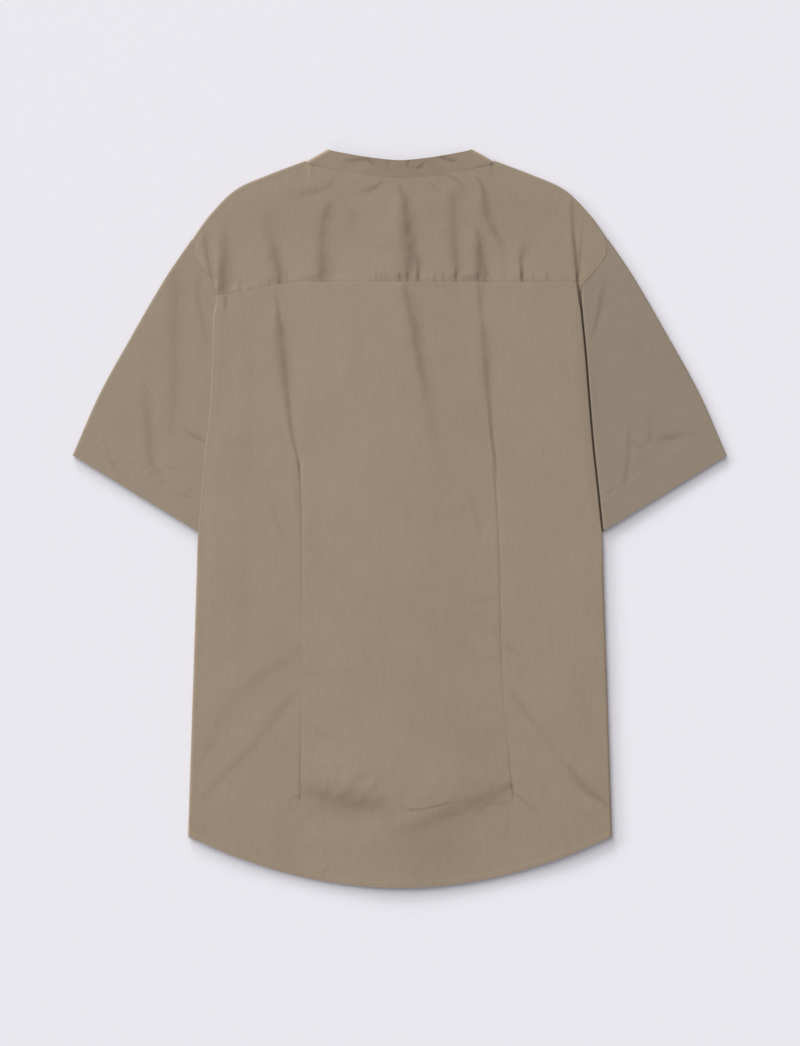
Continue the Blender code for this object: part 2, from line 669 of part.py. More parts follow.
def sleeve_point(c, r, side, edges):
    """c goes round the tube: -1 to 0 is the upper layer from inner to outer edge, then the outer
    fold to 1, the lower layer to 2, and the small inner fold to 3. r runs from armhole to opening."""
    flat = -c if c <= 0 else min(1, max(0, c - 1))
    point = patch(*edges, flat, r)
    top_z = sleeve_z(point.x, point.y, side)
    if c <= 0:
        return Vector((side * point.x, point.y, top_z))
    if 1 < c <= 2:
        return Vector((side * point.x, point.y, FLOOR_Z))
    turn = math.pi * (c if c <= 1 else 3 - c)
    radius = (top_z - FLOOR_Z) / 2
    out = Vector((-1, 0))
    if c <= 1:
        out = shoulder_out(mix(SHOULDER[0], SLEEVE_TIP[0], r))
    point = point + out * radius * math.sin(turn)
    return Vector((side * point.x, point.y, FLOOR_Z + radius * (1 + math.cos(turn))))


def make_sleeve(name, material):
    side = SIDES[name]
    edges = sleeve_outline(side)
    across = [0, 0.022, 0.045, 0.067, 0.09, 0.11, 0.13, 0.17, 0.205, 0.24, 0.27, 0.30, 0.34]
    across += [0.42, 0.54, 0.68, 0.80, 0.89, 0.95, 1]
    upper = [-c for c in reversed(across)]
    lower = [1 + c for c in across]
    rows = [0, 0.05, 0.12, 0.20, 0.30, 0.42, 0.54, 0.66, 0.78, 0.89, 1.0]
    sheet(
        "sleeve_" + name, upper + [0.2, 0.4, 0.6, 0.8] + lower + [2.33, 2.67, 3.0], rows,
        lambda c, r: sleeve_point(c, r, side, edges), material, ring=True,
    )


# ---------------------------------------------------------------- buttons
def make_button(name, x, y, material):
    bm = bmesh.new()
    bmesh.ops.create_cone(
        bm, cap_ends=True, segments=16, radius1=BUTTON_RADIUS, radius2=BUTTON_RADIUS,
        depth=BUTTON_THICKNESS,
    )
    rims = [e for e in bm.edges if len(e.link_faces) == 2 and e.calc_face_angle() > 1]
    bmesh.ops.bevel(
        bm, geom=rims, offset=0.0004, segments=1, profile=0.5, affect="EDGES", material=-1,
    )
    bmesh.ops.translate(bm, verts=bm.verts, vec=(0, 0, BUTTON_THICKNESS / 2))
    mesh = bpy.data.meshes.new(name)
    bm.to_mesh(mesh)
    bm.free()
    mesh.materials.append(material)
    obj = bpy.data.objects.new(name, mesh)
    obj.location = (x, y, 0)
    parts.objects.link(obj)


def make_buttons(material):
    for i in range(BUTTON_COUNT):
        make_button(f"button_{i + 1}", 0, BUTTON_FIRST_Y - i * BUTTON_SPACING, material)
    make_button("button_band", 0, (NECK_FRONT_Y + BAND_TOP_FRONT_Y) / 2, material)


# ---------------------------------------------------------------- the shirt
clear_scene()
parts = bpy.data.collections.new("mandarin_collar_shirt")
bpy.context.scene.collection.children.link(parts)
cloth = cloth_material("taupe cotton", (0.315, 0.252, 0.190), 0.9)
horn = cloth_material("brown button", (0.160, 0.105, 0.070), 0.35)

make_back(cloth)
make_yoke(cloth)
for side in SIDES.values():
    make_front(side, cloth)
make_placket(cloth)
make_band(cloth)
for side_name in SIDES:
    make_sleeve(side_name, cloth)
make_buttons(horn)
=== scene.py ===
# %% [markdown]
# # A mandarin collar shirt, laid flat on its front
# This lesson dresses a short-sleeved cotton shirt that lies face down on a pale table. The solids
# that carry it come from a fixed frame, already at their real size. Here each piece of cloth gets
# a thin shell of its own with the folds, seams and stitches of the real one, and then its finish.
# Everything is in metres, +Y points to the collar and +Z up, out of the shirt's back.

# %% Load the frame
import math

import bmesh
import bpy
import numpy as np
from mathutils import Matrix, Vector, noise


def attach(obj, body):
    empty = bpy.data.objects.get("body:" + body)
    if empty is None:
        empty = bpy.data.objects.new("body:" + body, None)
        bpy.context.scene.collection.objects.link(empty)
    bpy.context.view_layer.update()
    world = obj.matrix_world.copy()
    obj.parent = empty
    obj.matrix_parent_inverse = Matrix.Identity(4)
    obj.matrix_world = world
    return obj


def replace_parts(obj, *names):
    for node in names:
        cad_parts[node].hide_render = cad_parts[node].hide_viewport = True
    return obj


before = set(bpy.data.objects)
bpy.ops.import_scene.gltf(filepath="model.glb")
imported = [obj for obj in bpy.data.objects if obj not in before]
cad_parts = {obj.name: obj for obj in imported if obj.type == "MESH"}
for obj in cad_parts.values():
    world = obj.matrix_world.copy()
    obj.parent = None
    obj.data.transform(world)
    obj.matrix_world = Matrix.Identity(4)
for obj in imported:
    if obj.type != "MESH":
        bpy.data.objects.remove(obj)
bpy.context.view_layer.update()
MM = 0.001
print("nodes:", ", ".join(sorted(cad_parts)))

# %% [markdown]
# ## Everyday helpers
# `mix` goes from one value to another, and `ease` is a step with soft ends. `read_curve` draws one
# smooth curve through the rows of a table. All three work on single numbers and on whole arrays, so
# one formula can place all the points of a panel at once, which is much faster than a loop over its
# vertices. `linear` turns a colour from the hex code of a paint chart to the values a shader wants.

# %% Mix, ease, a smooth curve through a table, and a colour


def mix(a, b, t):
    return a + (b - a) * t


def ease(low, high, value):
    """0 below low, 1 above high, and a smooth step between."""
    t = np.clip((value - low) / (high - low), 0.0, 1.0)
    return t * t * (3 - 2 * t)


def read_curve(rows, key, column=1):
    """The value of a column at a key, on a smooth curve through the rows, which rise by key."""
    keys = np.array([row[0] for row in rows])
    values = np.array([row[column] for row in rows])
    slopes = np.empty(len(keys))
    slopes[1:-1] = (values[2:] - values[:-2]) / (keys[2:] - keys[:-2])
    slopes[0] = (values[1] - values[0]) / (keys[1] - keys[0])
    slopes[-1] = (values[-1] - values[-2]) / (keys[-1] - keys[-2])
    key = np.clip(key, keys[0], keys[-1])
    i = np.clip(np.searchsorted(keys, key) - 1, 0, len(keys) - 2)
    step = keys[i + 1] - keys[i]
    t = (key - keys[i]) / step
    return (
        (2 * t**3 - 3 * t**2 + 1) * values[i]
        + (t**3 - 2 * t**2 + t) * slopes[i] * step
        + (3 * t**2 - 2 * t**3) * values[i + 1]
        + (t**3 - t**2) * slopes[i + 1] * step
    )


def linear(hex_colour):
    """An sRGB hex colour as the linear values that a shader wants."""
    channels = [int(hex_colour[i:i + 2], 16) / 255 for i in (1, 3, 5)]
    turned = [c / 12.92 if c <= 0.04045 else ((c + 0.055) / 1.055) ** 2.4 for c in channels]
    return (*turned, 1.0)


print("halfway of an eased step:", float(ease(0, 1, 0.5)))

# %% [markdown]
# ## The table, the camera and the light
# The shirt is seen straight from above. A long lens far away keeps the outline almost free of
# perspective, as in a catalogue. The table is one plain pale plane. A pale sky all round gives half
# of the light. A wide soft key from the upper left shades the folds, and a strip of low suns beside
# it skims the cloth, so that folds only a millimetre high still show. The strip also draws the soft
# shadow at the lower right. Suns light the whole table evenly, as a studio's big lamps do.

# %% Camera
FRAME_HEIGHT = 1.1297           # metres of table from the top of the frame to its foot
FRAME_CENTRE_Y = -0.005
CLOTH_LEVEL = 0.006             # height of the cloth that faces the camera
LENS_MM = 85.0
SENSOR_MM = 36.0

camera_data = bpy.data.cameras.new("camera")
camera_data.lens = LENS_MM
camera_data.sensor_width = SENSOR_MM
camera = bpy.data.objects.new("camera", camera_data)
camera.location = (0, FRAME_CENTRE_Y, CLOTH_LEVEL + FRAME_HEIGHT * LENS_MM / SENSOR_MM)
bpy.context.scene.collection.objects.link(camera)
bpy.context.scene.camera = camera
bpy.context.scene.view_settings.view_transform = "Standard"
print("camera height:", round(camera.location.z, 3))

# %% Light
# Each sun: share of the table's light, height, direction it comes from, how wide it looks.
SUNS = (
    ("soft_key", 0.29, 42, 122, 50), ("strip_upper", 0.105, 17, 106, 15),
    ("strip_middle", 0.09, 17, 135, 15), ("strip_left", 0.085, 17, 164, 15),
)
SKY_STRENGTH = 0.43


def add_sun(name, share, height, bearing, width):
    """A sun that gives this share of a white table's brightness. Angles are in degrees."""
    height, bearing = math.radians(height), math.radians(bearing)
    data = bpy.data.lights.new(name, "SUN")
    data.energy = math.pi * share / math.sin(height)
    data.angle = math.radians(width)
    sun = bpy.data.objects.new(name, data)
    level = math.cos(height)
    towards = Vector((level * math.cos(bearing), level * math.sin(bearing), math.sin(height)))
    sun.rotation_euler = towards.to_track_quat("Z", "Y").to_euler()
    bpy.context.scene.collection.objects.link(sun)
    return sun


for row in SUNS:
    print(add_sun(*row).name, "gives", row[1])
sky = bpy.data.worlds.new("pale_sky")
sky.use_nodes = True
sky.node_tree.nodes["Background"].inputs["Color"].default_value = linear("#fdfcff")
sky.node_tree.nodes["Background"].inputs["Strength"].default_value = SKY_STRENGTH
bpy.context.scene.world = sky

# %% [markdown]
# ## How the shirt lies
# These are the sizes of the frame's own solids. A shirt on a table is a pile of layers: the buttons
# and the fronts lowest, then the sleeves where they go under the body, and the back on top. The
# body's edges roll round the sides and over the sleeves. Each number below is a real size.

# %% Sizes
CLOTH = 0.6 * MM                # shell of each piece, a little stouter than the real 0.35 mm
SEAM_INSET = 0.25 * MM          # each of two sewn edges stays this far from their seam line
GAP = 0.3 * MM                  # between pieces that lie side by side
HALF_LENGTH = 0.399             # from the middle of the shirt to its hem, or to its collar's top

# The neckline, where it meets the shoulder and at the centre back and front, and the collar band.
NECK_HALF, NECK_Y = 0.1015, 0.387
NECK_BACK_Y, NECK_FRONT_Y = 0.3676, 0.2905
BAND_WALL = 1.2 * MM            # two layers with an interlining
BAND_RISE = 2.1 * MM            # how much higher its upper edge stands at the centre back
BAND_TOP_HALF = 0.0778
BAND_TOP_BACK_Y = 0.3866
BAND_TOP_FRONT_Y = NECK_FRONT_Y + 0.023
LAP_TURN = math.radians(5)      # each end goes this far past the centre front

# The yoke: its seam at the back, which drops to the left, and the ends of its seam at the front.
YOKE_SEAM_Y, YOKE_SEAM_DROP = 0.2560, 0.0150
YOKE_FRONT_CORNER = (0.0965, 0.357)
YOKE_FRONT_END_Y = 0.2834

# The sides, and how they roll under.
SIDE_TOP, SIDE_FOOT = (0.2185, -0.0125), (0.2294, -0.3430)
SIDE_TUCK = 0.012               # the side seam lies this far in, underneath
LIE_ON_CUFF, LEAVE_FRONT = (-0.062, -0.032), (0.060, 0.090)     # here the layers beneath change
ARMHOLE_ROLL, ROLL_LENGTH = 1.3 * MM, 0.036
LEAST_TURN = math.radians(8)

# The sleeves and the hems.
UNDERARM_Y, CUFF_Y = 0.075, -0.0205
SLEEVE_TIP, SHOULDER = (0.354, 0.068), (0.2236, 0.3035)
CORNER_REACH = 0.012            # the armhole seam bends in over this length at the shoulder
SLEEVE_HEM, BODY_HEM = 26 * MM, 5 * MM
PLACKET_HALF, PLACKET_RISE = 0.016, 0.004

# Heights of the middle of each layer's wall.
FLOOR_Z = 0.5 * MM
TUCKED_Z, ROLLED_Z = 1.8 * MM, 3.1 * MM
PLACKET_Z, MARGIN_Z = 2.6 * MM, 3.9 * MM
FLAT_Z, SIDE_Z, MIDDLE_Z = 4.7 * MM, 5.6 * MM, 6.6 * MM
SLEEVE_Z = 5.0 * MM
ROLL_INSET = (SLEEVE_Z - FLOOR_Z) / 2 + CLOTH / 2

SHOULDER_LINE = (
    # x,     y
    (0.1015, 0.3870), (0.1440, 0.3708), (0.1790, 0.3546), (0.2061, 0.3276), (0.2236, 0.3035),
    (0.2520, 0.2620), (0.2890, 0.1990), (0.3255, 0.1330), (0.3540, 0.0680),
)
BODY_EDGE = (
    # y,      half width on the left, on the right
    (-0.0125, 0.2185, 0.2180), (0.0400, 0.2140, 0.2125), (0.0780, 0.2105, 0.2084),
    (0.1170, 0.2060, 0.2050), (0.1820, 0.2030, 0.1998), (0.2210, 0.2020, 0.1960),
    (0.2400, 0.2000, 0.1950), (0.2570, 0.2030, 0.2020), (0.2640, 0.2085, 0.2080),
    (0.2834, 0.2215, 0.2225), (0.3035, 0.2236, 0.2236),
)
DARTS = (
    # y,      distance from the centre line on the left, on the right
    (-0.3010, 0.1080, 0.1220), (-0.1760, 0.1078, 0.1102), (-0.0340, 0.1068, 0.1068),
    (0.0680, 0.1100, 0.1005), (0.2560, 0.1330, 0.0860),
)
DART_TOP_Y, DART_FOOT_Y = 0.068, -0.301
SIDES = (("left", -1), ("right", 1))
print("back length:", round((NECK_BACK_Y + HALF_LENGTH) / MM), "mm")

# %% [markdown]
# ## The curves that the panels share
# Two panels that are sewn together share one seam line, so each line is one function, and both
# panels are worked out from it. The same functions say where the side rolls under and how far.

# %% Outline, seams and darts


def shoulder_y(x):
    """Height of the outline of shoulder and sleeve, which is one folded line."""
    return read_curve(SHOULDER_LINE, x)


def shoulder_out(x):
    """Direction straight out of the shoulder line, in plan."""
    step = 0.5 * MM
    x = np.clip(x, NECK_HALF + step, SLEEVE_TIP[0] - step)
    out = np.array([shoulder_y(x - step) - shoulder_y(x + step), 2 * step + 0 * x])
    return out / np.hypot(*out)


def side_x(y, side):
    """Half width of the body at a height. side is -1 on the left and 1 on the right."""
    over_sleeve = np.where(side < 0, read_curve(BODY_EDGE, y, 1), read_curve(BODY_EDGE, y, 2))
    t = (SIDE_TOP[1] - y) / (SIDE_TOP[1] - SIDE_FOOT[1])
    return np.where(y > SIDE_TOP[1], over_sleeve, mix(SIDE_TOP[0], SIDE_FOOT[0], t))


def yoke_seam_y(x):
    """The yoke seam, level but for its drop on the left."""
    return YOKE_SEAM_Y - YOKE_SEAM_DROP * ease(0.10, 0.21, -x)


def hem_y(x):
    """The hem, which curves up to the side seams."""
    drop = SIDE_FOOT[1] + HALF_LENGTH
    return -HALF_LENGTH + drop * (x / SIDE_FOOT[0]) ** 2


def dart_x(y, side):
    """Distance of a dart from the centre line."""
    return np.where(side < 0, read_curve(DARTS, y, 1), read_curve(DARTS, y, 2))


print("shoulder width:", round(2 * SHOULDER[0] / MM), "mm")

# %% How the sides roll under


def tuck_top(side):
    """Where the body's edge starts to roll over the sleeve: at the end of the yoke seam."""
    return yoke_seam_y(side * 0.2)


def roll_turn(y, side):
    """How far the body's edge has turned under: hardly at the yoke seam, then half a circle."""
    top = tuck_top(side)
    return mix(LEAST_TURN, math.pi, 1 - ease(top - ROLL_LENGTH, top, y))


def roll_radius(radius, turn):
    """Radius of an edge that has turned this far; radius is its radius at half a circle."""
    return np.where(turn < math.pi / 2, radius * math.pi / turn, radius * 2 / (1 - np.cos(turn)))


print("ends of the yoke seam, in mm:", [round(float(tuck_top(side)) / MM) for _, side in SIDES])

# %% The armhole seam


def armhole_x(y, side):
    """The seam between body and sleeve, or the side seam below the underarm."""
    turn = roll_turn(y, side)
    hidden = roll_radius(ARMHOLE_ROLL, turn) * (1 - np.sin(turn))
    low = tuck_top(side) - ROLL_LENGTH
    flat = (SIDE_TUCK - ARMHOLE_ROLL - MM / 2) * (1 - ease(low - 0.080, low, y))
    return side_x(y, side) - MM / 2 - np.where(turn > math.pi / 2, hidden, 0) - flat


CORNER_X, CORNER_Y = np.array(SHOULDER) - shoulder_out(SHOULDER[0]) * ROLL_INSET


def shoulder_seam_x(y, side):
    """The armhole seam, with its last stretch bent in to the shoulder fold."""
    bend = ease(CORNER_Y - CORNER_REACH, CORNER_Y, y)
    return armhole_x(y, side) + (CORNER_X - armhole_x(CORNER_Y, side)) * bend


print("top of the armhole seam, in mm:", round(CORNER_X / MM), round(CORNER_Y / MM))

# %% [markdown]
# ## Folds
# Cloth that has been put down by hand keeps soft folds. Each one here is a stroke, as if drawn with
# a pencil: points in millimetres, each with a half width and a steepness. Across a stroke the cloth
# is shaped like an S. It stands up on the upper left, falls steeply on the line itself and is sunk
# on the other side, and from both it comes back slowly to level. The lamps stand at the upper left,
# so the steep middle turns away from them. A negative steepness turns the fold over. Each stroke
# also gives a painted shade along its line, which darkens the cotton's colour there, since folds
# this low shade themselves too little. Summing strokes is quicker than simulating cloth, and it
# puts each fold where the real one lies.

# %% One stroke
BEND, FAR_BEND = 6.0, 0.8       # how softly its width changes at a bend: close by, and further off


def stroke_at(fold, x, y, upper_left):
    """How far each place is off the stroke and beyond its ends, and its half width and steepness
    there. off counts towards the upper left."""
    spans = []
    for i, (start, end) in enumerate(zip(fold, fold[1:])):
        x0, y0, width0, steep0 = start
        x1, y1, width1, steep1 = end
        ax, ay = x1 - x0, y1 - y0
        length = math.hypot(ax, ay)
        along = ((x - x0) * ax + (y - y0) * ay) / length
        beyond = along - np.clip(along, 0, length)
        off = upper_left * ((y - y0) * ax - (x - x0) * ay) / length
        free = (beyond < 0) * (i == 0) + (beyond > 0) * (i == len(fold) - 2)
        off = np.where(free, off, np.sign(off) * np.hypot(off, beyond))
        t = np.clip(along / length, 0, 1)
        spans.append((
            off * off + free * beyond**2, off, free * beyond,
            mix(width0, width1, t), mix(steep0, steep1, t),
        ))
    distance, off, beyond, width, steep = np.array(spans).transpose(1, 0, 2)
    nearest = distance.argmin(axis=0), np.arange(x.size)
    closest = distance[nearest]
    weight = np.exp((closest - distance) / (BEND**2 + FAR_BEND * closest))
    weight /= weight.sum(axis=0)
    return off[nearest], beyond[nearest], (weight * width).sum(axis=0), (weight * steep).sum(axis=0)


test_stroke = ((0, -50, 2, 0.1), (0, 50, 2, 0.1))
print("5 mm left of a stroke, off is", stroke_at(test_stroke, np.array([-5.0]), np.zeros(1), 1)[0])

# %% The relief of a whole table
LEAN = 3.5                      # how much wider a fold's slow sides are than its steep middle
BELL_SLOPE = 1.213              # steepest slope of a bell curve of half width 1 and height 1
SHADE_WIDTH = 1.35              # how much wider its shade is than its steep middle
FADE = 1.6                      # how far it runs out past its end, in half widths
REACH = 2.5 * LEAN              # past this many half widths a fold has no effect


def fold_relief(folds, x, y, crest=0.5):
    """The sum of all the strokes of a table at each place, in metres, and the painted shade there.
    crest is the share of each fold that stands up; the rest sinks."""
    x, y = (axis / MM for axis in np.broadcast_arrays(x, y))
    relief, painted_shade = np.zeros(x.shape), np.zeros(x.shape)
    for fold in folds:
        xs, ys, widths = ([point[i] for point in fold] for i in range(3))
        reach = REACH * max(widths)
        near = (x > min(xs) - reach) & (x < max(xs) + reach)
        near &= (y > min(ys) - reach) & (y < max(ys) + reach)
        runs_right = 0.8 * (xs[-1] - xs[0]) + 0.6 * (ys[-1] - ys[0]) > 0
        off, beyond, width, steep = stroke_at(fold, x[near], y[near], 1 if runs_right else -1)
        low, high = (off + width / 2) / width, (off - width / 2) / width
        low = np.exp(-2 * (low / np.where(low < 0, LEAN, 1)) ** 2)
        high = np.exp(-2 * (high / np.where(high > 0, LEAN, 1)) ** 2)
        end = np.exp(-2 * (beyond / width / FADE) ** 2)
        relief[near] += steep * width / BELL_SLOPE * (crest * high - (1 - crest) * low) * end
        painted_shade[near] += steep * np.exp(-2 * (off / width / SHADE_WIDTH) ** 2) * end
    return relief * MM, painted_shade


def ripple(x, y, size, seed):
    """Smooth unevenness about this size across, from -1 to 1."""
    spots = zip(np.ravel(x) / size, np.ravel(y) / size)
    return np.array([noise.noise(Vector((u, v, seed))) for u, v in spots]).reshape(np.shape(x))


heights = fold_relief([test_stroke], np.array([-2 * MM, 2 * MM]), 0.0)[0]
print("2 mm beside a gentle stroke the cloth lies", np.round(heights / MM, 2), "mm off level")

# %% Folds of the back
# Each point: x, y and half width in millimetres, then steepness.
BACK_FOLDS = (
    # from the yoke seam down to the darts, and beside them
    (
        (-134, 246, 2, 0.11), (-133, 232, 2.7, 0.22), (-131.5, 218, 4.3, 0.286),
        (-129, 200, 7.4, 0.308), (-127.5, 176, 8.1, 0.308), (-125, 155, 6.8, 0.297),
        (-122, 130, 4.3, 0.297), (-119, 105, 3.4, 0.308), (-116, 85, 2.4, 0.33),
        (-112, 68, 1.8, 0.396), (-109.5, 56, 1.4, 0.374), (-108.5, 44, 1.4, 0.165),
    ),
    ((-191, 246, 5, 0.3), (-189, 235, 2.5, 0.35), (-188, 227, 1.5, 0.1)),
    ((-193, 225, 8, 0.05), (-194, 170, 9, 0.07), (-197, 120, 8, 0.05), (-203, 80, 7, 0)),
    (
        (-150, 240, 9, 0), (-150, 200, 10.5, -0.03), (-142, 150, 10.5, -0.04),
        (-137, 100, 10.5, -0.03), (-130, 70, 8, 0),
    ),
    ((-164, 200, 9, 0.02), (-163, 120, 10.5, 0.03), (-165, 60, 10.5, 0.02)),
    ((-66, 235, 5, -0.02), (-66, 190, 6.5, -0.04), (-64, 150, 6.5, -0.02)),
    ((-50, 230, 6.5, 0.02), (-49, 190, 8, 0.03), (-46, 140, 6.5, 0.02)),
    (
        (4, 256, 5, 0.147), (8, 236, 5.8, 0.273), (12.5, 216, 7.2, 0.252), (16, 196, 7.8, 0.252),
        (20, 176, 6.1, 0.21), (21.5, 160, 4.1, 0.158), (26, 146, 3, 0.126), (25.5, 130, 2.4, 0.063),
    ),
    (
        (14, 245, 11.5, 0.05), (22, 190, 11.5, 0.10), (29, 140, 9, 0.11), (34, 105, 8, 0.11),
        (38, 84, 8, 0.09), (46, 58, 9, 0.03),
    ),
    (
        (83, 259, 3.8, 0.198), (86.5, 240, 4.4, 0.22), (88, 216, 3.8, 0.187), (91, 192, 6.2, 0.22),
        (93, 166, 7.5, 0.264), (94.5, 140, 4.4, 0.275), (96.5, 118, 3.2, 0.308),
        (98, 98, 2.5, 0.396), (100, 80, 1.9, 0.44), (102.5, 64, 1.4, 0.396), (104, 50, 1.2, 0.275),
        (104.2, 38, 1.2, 0.11),
    ),
    ((57, 257, 1, 0.10), (63.5, 248, 1.2, 0.06)),
    ((-113, 62, 2.5, 0.05), (-112.5, 30, 2.5, 0.10), (-110, 2, 2, 0.05)),
    # between the sides and the darts
    ((-101, -14, 2, 0.12), (-88, -14, 1.5, 0.06)),
    ((-105, -31, 2, 0.10), (-90, -31, 2, 0.10), (-81, -27, 1.5, 0.04)),
    ((-139.5, 22, 2, 0.03), (-136, 2, 2.5, 0.10), (-130, -14, 2.5, 0.10), (-120, -34, 2, 0.04)),
    ((-171, 80, 10.5, 0.02), (-171, -20, 10.5, 0.04), (-170, -130, 10.5, 0.03)),
    ((-207, 20, 8, -0.02), (-208, -60, 9, -0.05), (-209, -130, 9, -0.04), (-211, -220, 8, -0.02)),
    ((72, 42, 3, 0.03), (79, 18, 3, 0.07), (83, -2, 3, 0.07), (86, -22, 2.5, 0.06)),
    ((84, -34, 2, 0.08), (92, -40, 2, 0.14), (103, -40.5, 1.5, 0.08)),
    ((70, -86, 3, 0.05), (86, -85.5, 3, 0.12), (102, -86, 3, 0.10)),
    ((-42, -85, 5, 0.04), (-26, -87, 5, 0.06)),
    ((4, -73, 6.5, 0.03), (36, -75, 6.5, 0.04)),
    ((-78, -99, 6.5, 0.04), (-46, -103, 6.5, 0.04)),
    # drag lines from the lower ends of the darts to the sides
    (
        (-110, -143, 3, 0.08), (-121, -154, 5, 0.064), (-141, -164, 6.5, 0.096),
        (-153, -172, 8, 0.08), (-176, -191, 11.5, 0.048), (-196, -222, 11.5, 0.056),
        (-206, -246, 8, 0.064), (-216, -261, 5, 0.08), (-221, -272, 2.5, 0.024),
    ),
    (
        (-110, -186, 1.5, 0.062), (-121, -197, 3.5, 0.136), (-133, -211, 6, 0.112),
        (-151, -235, 6.5, 0.087), (-173, -259, 6, 0.087), (-191, -278, 5, 0.074),
        (-206, -294, 3.5, 0.074), (-219, -307, 2.5, 0.037),
    ),
    (
        (117, -181, 1.3, 0.12), (128, -197, 2.34, 0.21), (138, -213, 3.25, 0.24),
        (146, -223, 2.34, 0.18), (160, -243, 3.25, 0.09), (171, -257, 3.25, 0.12),
        (183, -270, 3.9, 0.24), (193, -283, 4.55, 0.33), (203, -295, 3.9, 0.42),
        (213, -301.5, 2.86, 0.33), (225, -309, 3.25, 0.18),
    ),
    (
        (111.5, -137.5, 2, 0.16), (118, -139.5, 2, 0.16), (125, -146, 1.8, 0.18),
        (132, -151, 1.5, 0.05),
    ),
    ((189, -184, 6.5, 0.04), (206, -212, 6.5, 0.04)),
    # the lower end of the crease beside the right armhole, the right edge and the hem
    (
        (191.5, 256, 1.8, 0.4), (192.7, 248, 1.8, 0.4), (193.8, 238, 1.6, 0.3),
        (194.5, 230, 1.4, 0.1),
    ),
    (
        (194, 222, 5, 0.10), (198, 160, 5, 0.16), (204, 90, 5, 0.16), (208, 40, 5, 0.14),
        (213, -5, 4, 0.05),
    ),
    (
        (-80, -350, 26, 0.02), (-40, -358, 31.2, 0.05), (0, -361, 33.8, 0.06),
        (40, -358, 31.2, 0.06), (100, -346, 26, 0.03),
    ),
    ((200, -318, 2.5, 0.08), (214, -327, 2.5, 0.06)),
    # the hollow above the hem, with a pinch in its middle and a star at each dart's end
    (
        (-106, -285, 5, 0.105), (-96, -293, 11.2, 0.168), (-85, -298, 16.2, 0.21),
        (-70, -303, 20, 0.231), (-50, -306, 21.2, 0.252), (-35, -308, 18.8, 0.231),
        (-22, -312, 13.8, 0.168), (-10, -320, 8.8, 0.063),
    ),
    (
        (119, -289.5, 5, 0.14), (112, -293.5, 11.2, 0.155), (100, -299.5, 16.2, 0.165),
        (85, -305.5, 20, 0.165), (70, -310.5, 21.2, 0.16), (55, -316.5, 20, 0.15),
        (40, -323.5, 17, 0.125), (20, -332.5, 13, 0.09), (0, -337, 10, 0.09), (-12, -336, 7, 0.06),
        (-20, -334.5, 3.8, 0.02),
    ),
    (
        (118, -304, 1.5, 0.068), (112, -309, 1.5, 0.09), (100, -307, 2, 0.09), (91, -311, 2, 0.108),
        (83, -320, 2, 0.09),
    ),
    ((66, -319, 3, 0.08), (58, -319, 3, 0.1), (48, -322, 3, 0.05)),
    (
        (4, -311, 1.5, 0.12), (10, -314.5, 1.6, 0.28), (25, -313.5, 1.5, 0.30),
        (40, -310.5, 1.3, 0.32), (52, -307.5, 1.1, 0.28),
    ),
    ((-109, -299, 1.2, 0.2), (-119, -304, 1.5, 0.16), (-120, -315, 1.2, 0.06)),
    (
        (119, -287, 1.5, 0.40), (121.5, -296, 1.5, 0.34), (130, -303, 1.6, 0.26),
        (140, -310, 1.5, 0.20), (148, -318, 3, 0.06),
    ),
    ((116, -311, 1.2, 0.12), (116, -338, 1.2, 0.10)),
    (
        (-228, -316, 1.5, 0.05), (-226, -330, 1.5, 0.20), (-220, -338.5, 1.5, 0.20),
        (-208, -340, 1.2, 0.05),
    ),
    ((-86, -388, 2, 0.05), (-80, -378, 1.8, 0.12), (-71, -370, 1.8, 0.08)),
    ((-130, -345, 10.5, 0.04), (-118, -372, 9, 0.05)),
    # short ones that run across, beside the darts
    ((-104, -165.5, 2, 0.10), (-90, -167, 3, 0.08), (-50, -168, 3, 0.07), (-36, -167, 3, 0.03)),
    ((-106, -185, 1, 0.12), (-98, -185, 1, 0.05)),
    (
        (-107, -223, 2, 0.05), (-95, -226.5, 2.5, 0.10), (-85, -233, 5, 0.10), (-72, -238, 3, 0.10),
        (-62, -251, 2, 0.04),
    ),
    ((99, -126, 1.2, 0.10), (106, -121, 1.2, 0.12)),
    ((80, -156, 3, 0.05), (98, -150, 1.6, 0.14), (107, -147, 1.4, 0.16)),
    ((106, -230, 9, 0.04), (85, -236, 10.5, 0.05), (60, -246, 9, 0.03)),
    ((85, -208, 5, 0.04), (98, -206, 5, 0.03)),
)
print(len(BACK_FOLDS), "folds in the back")

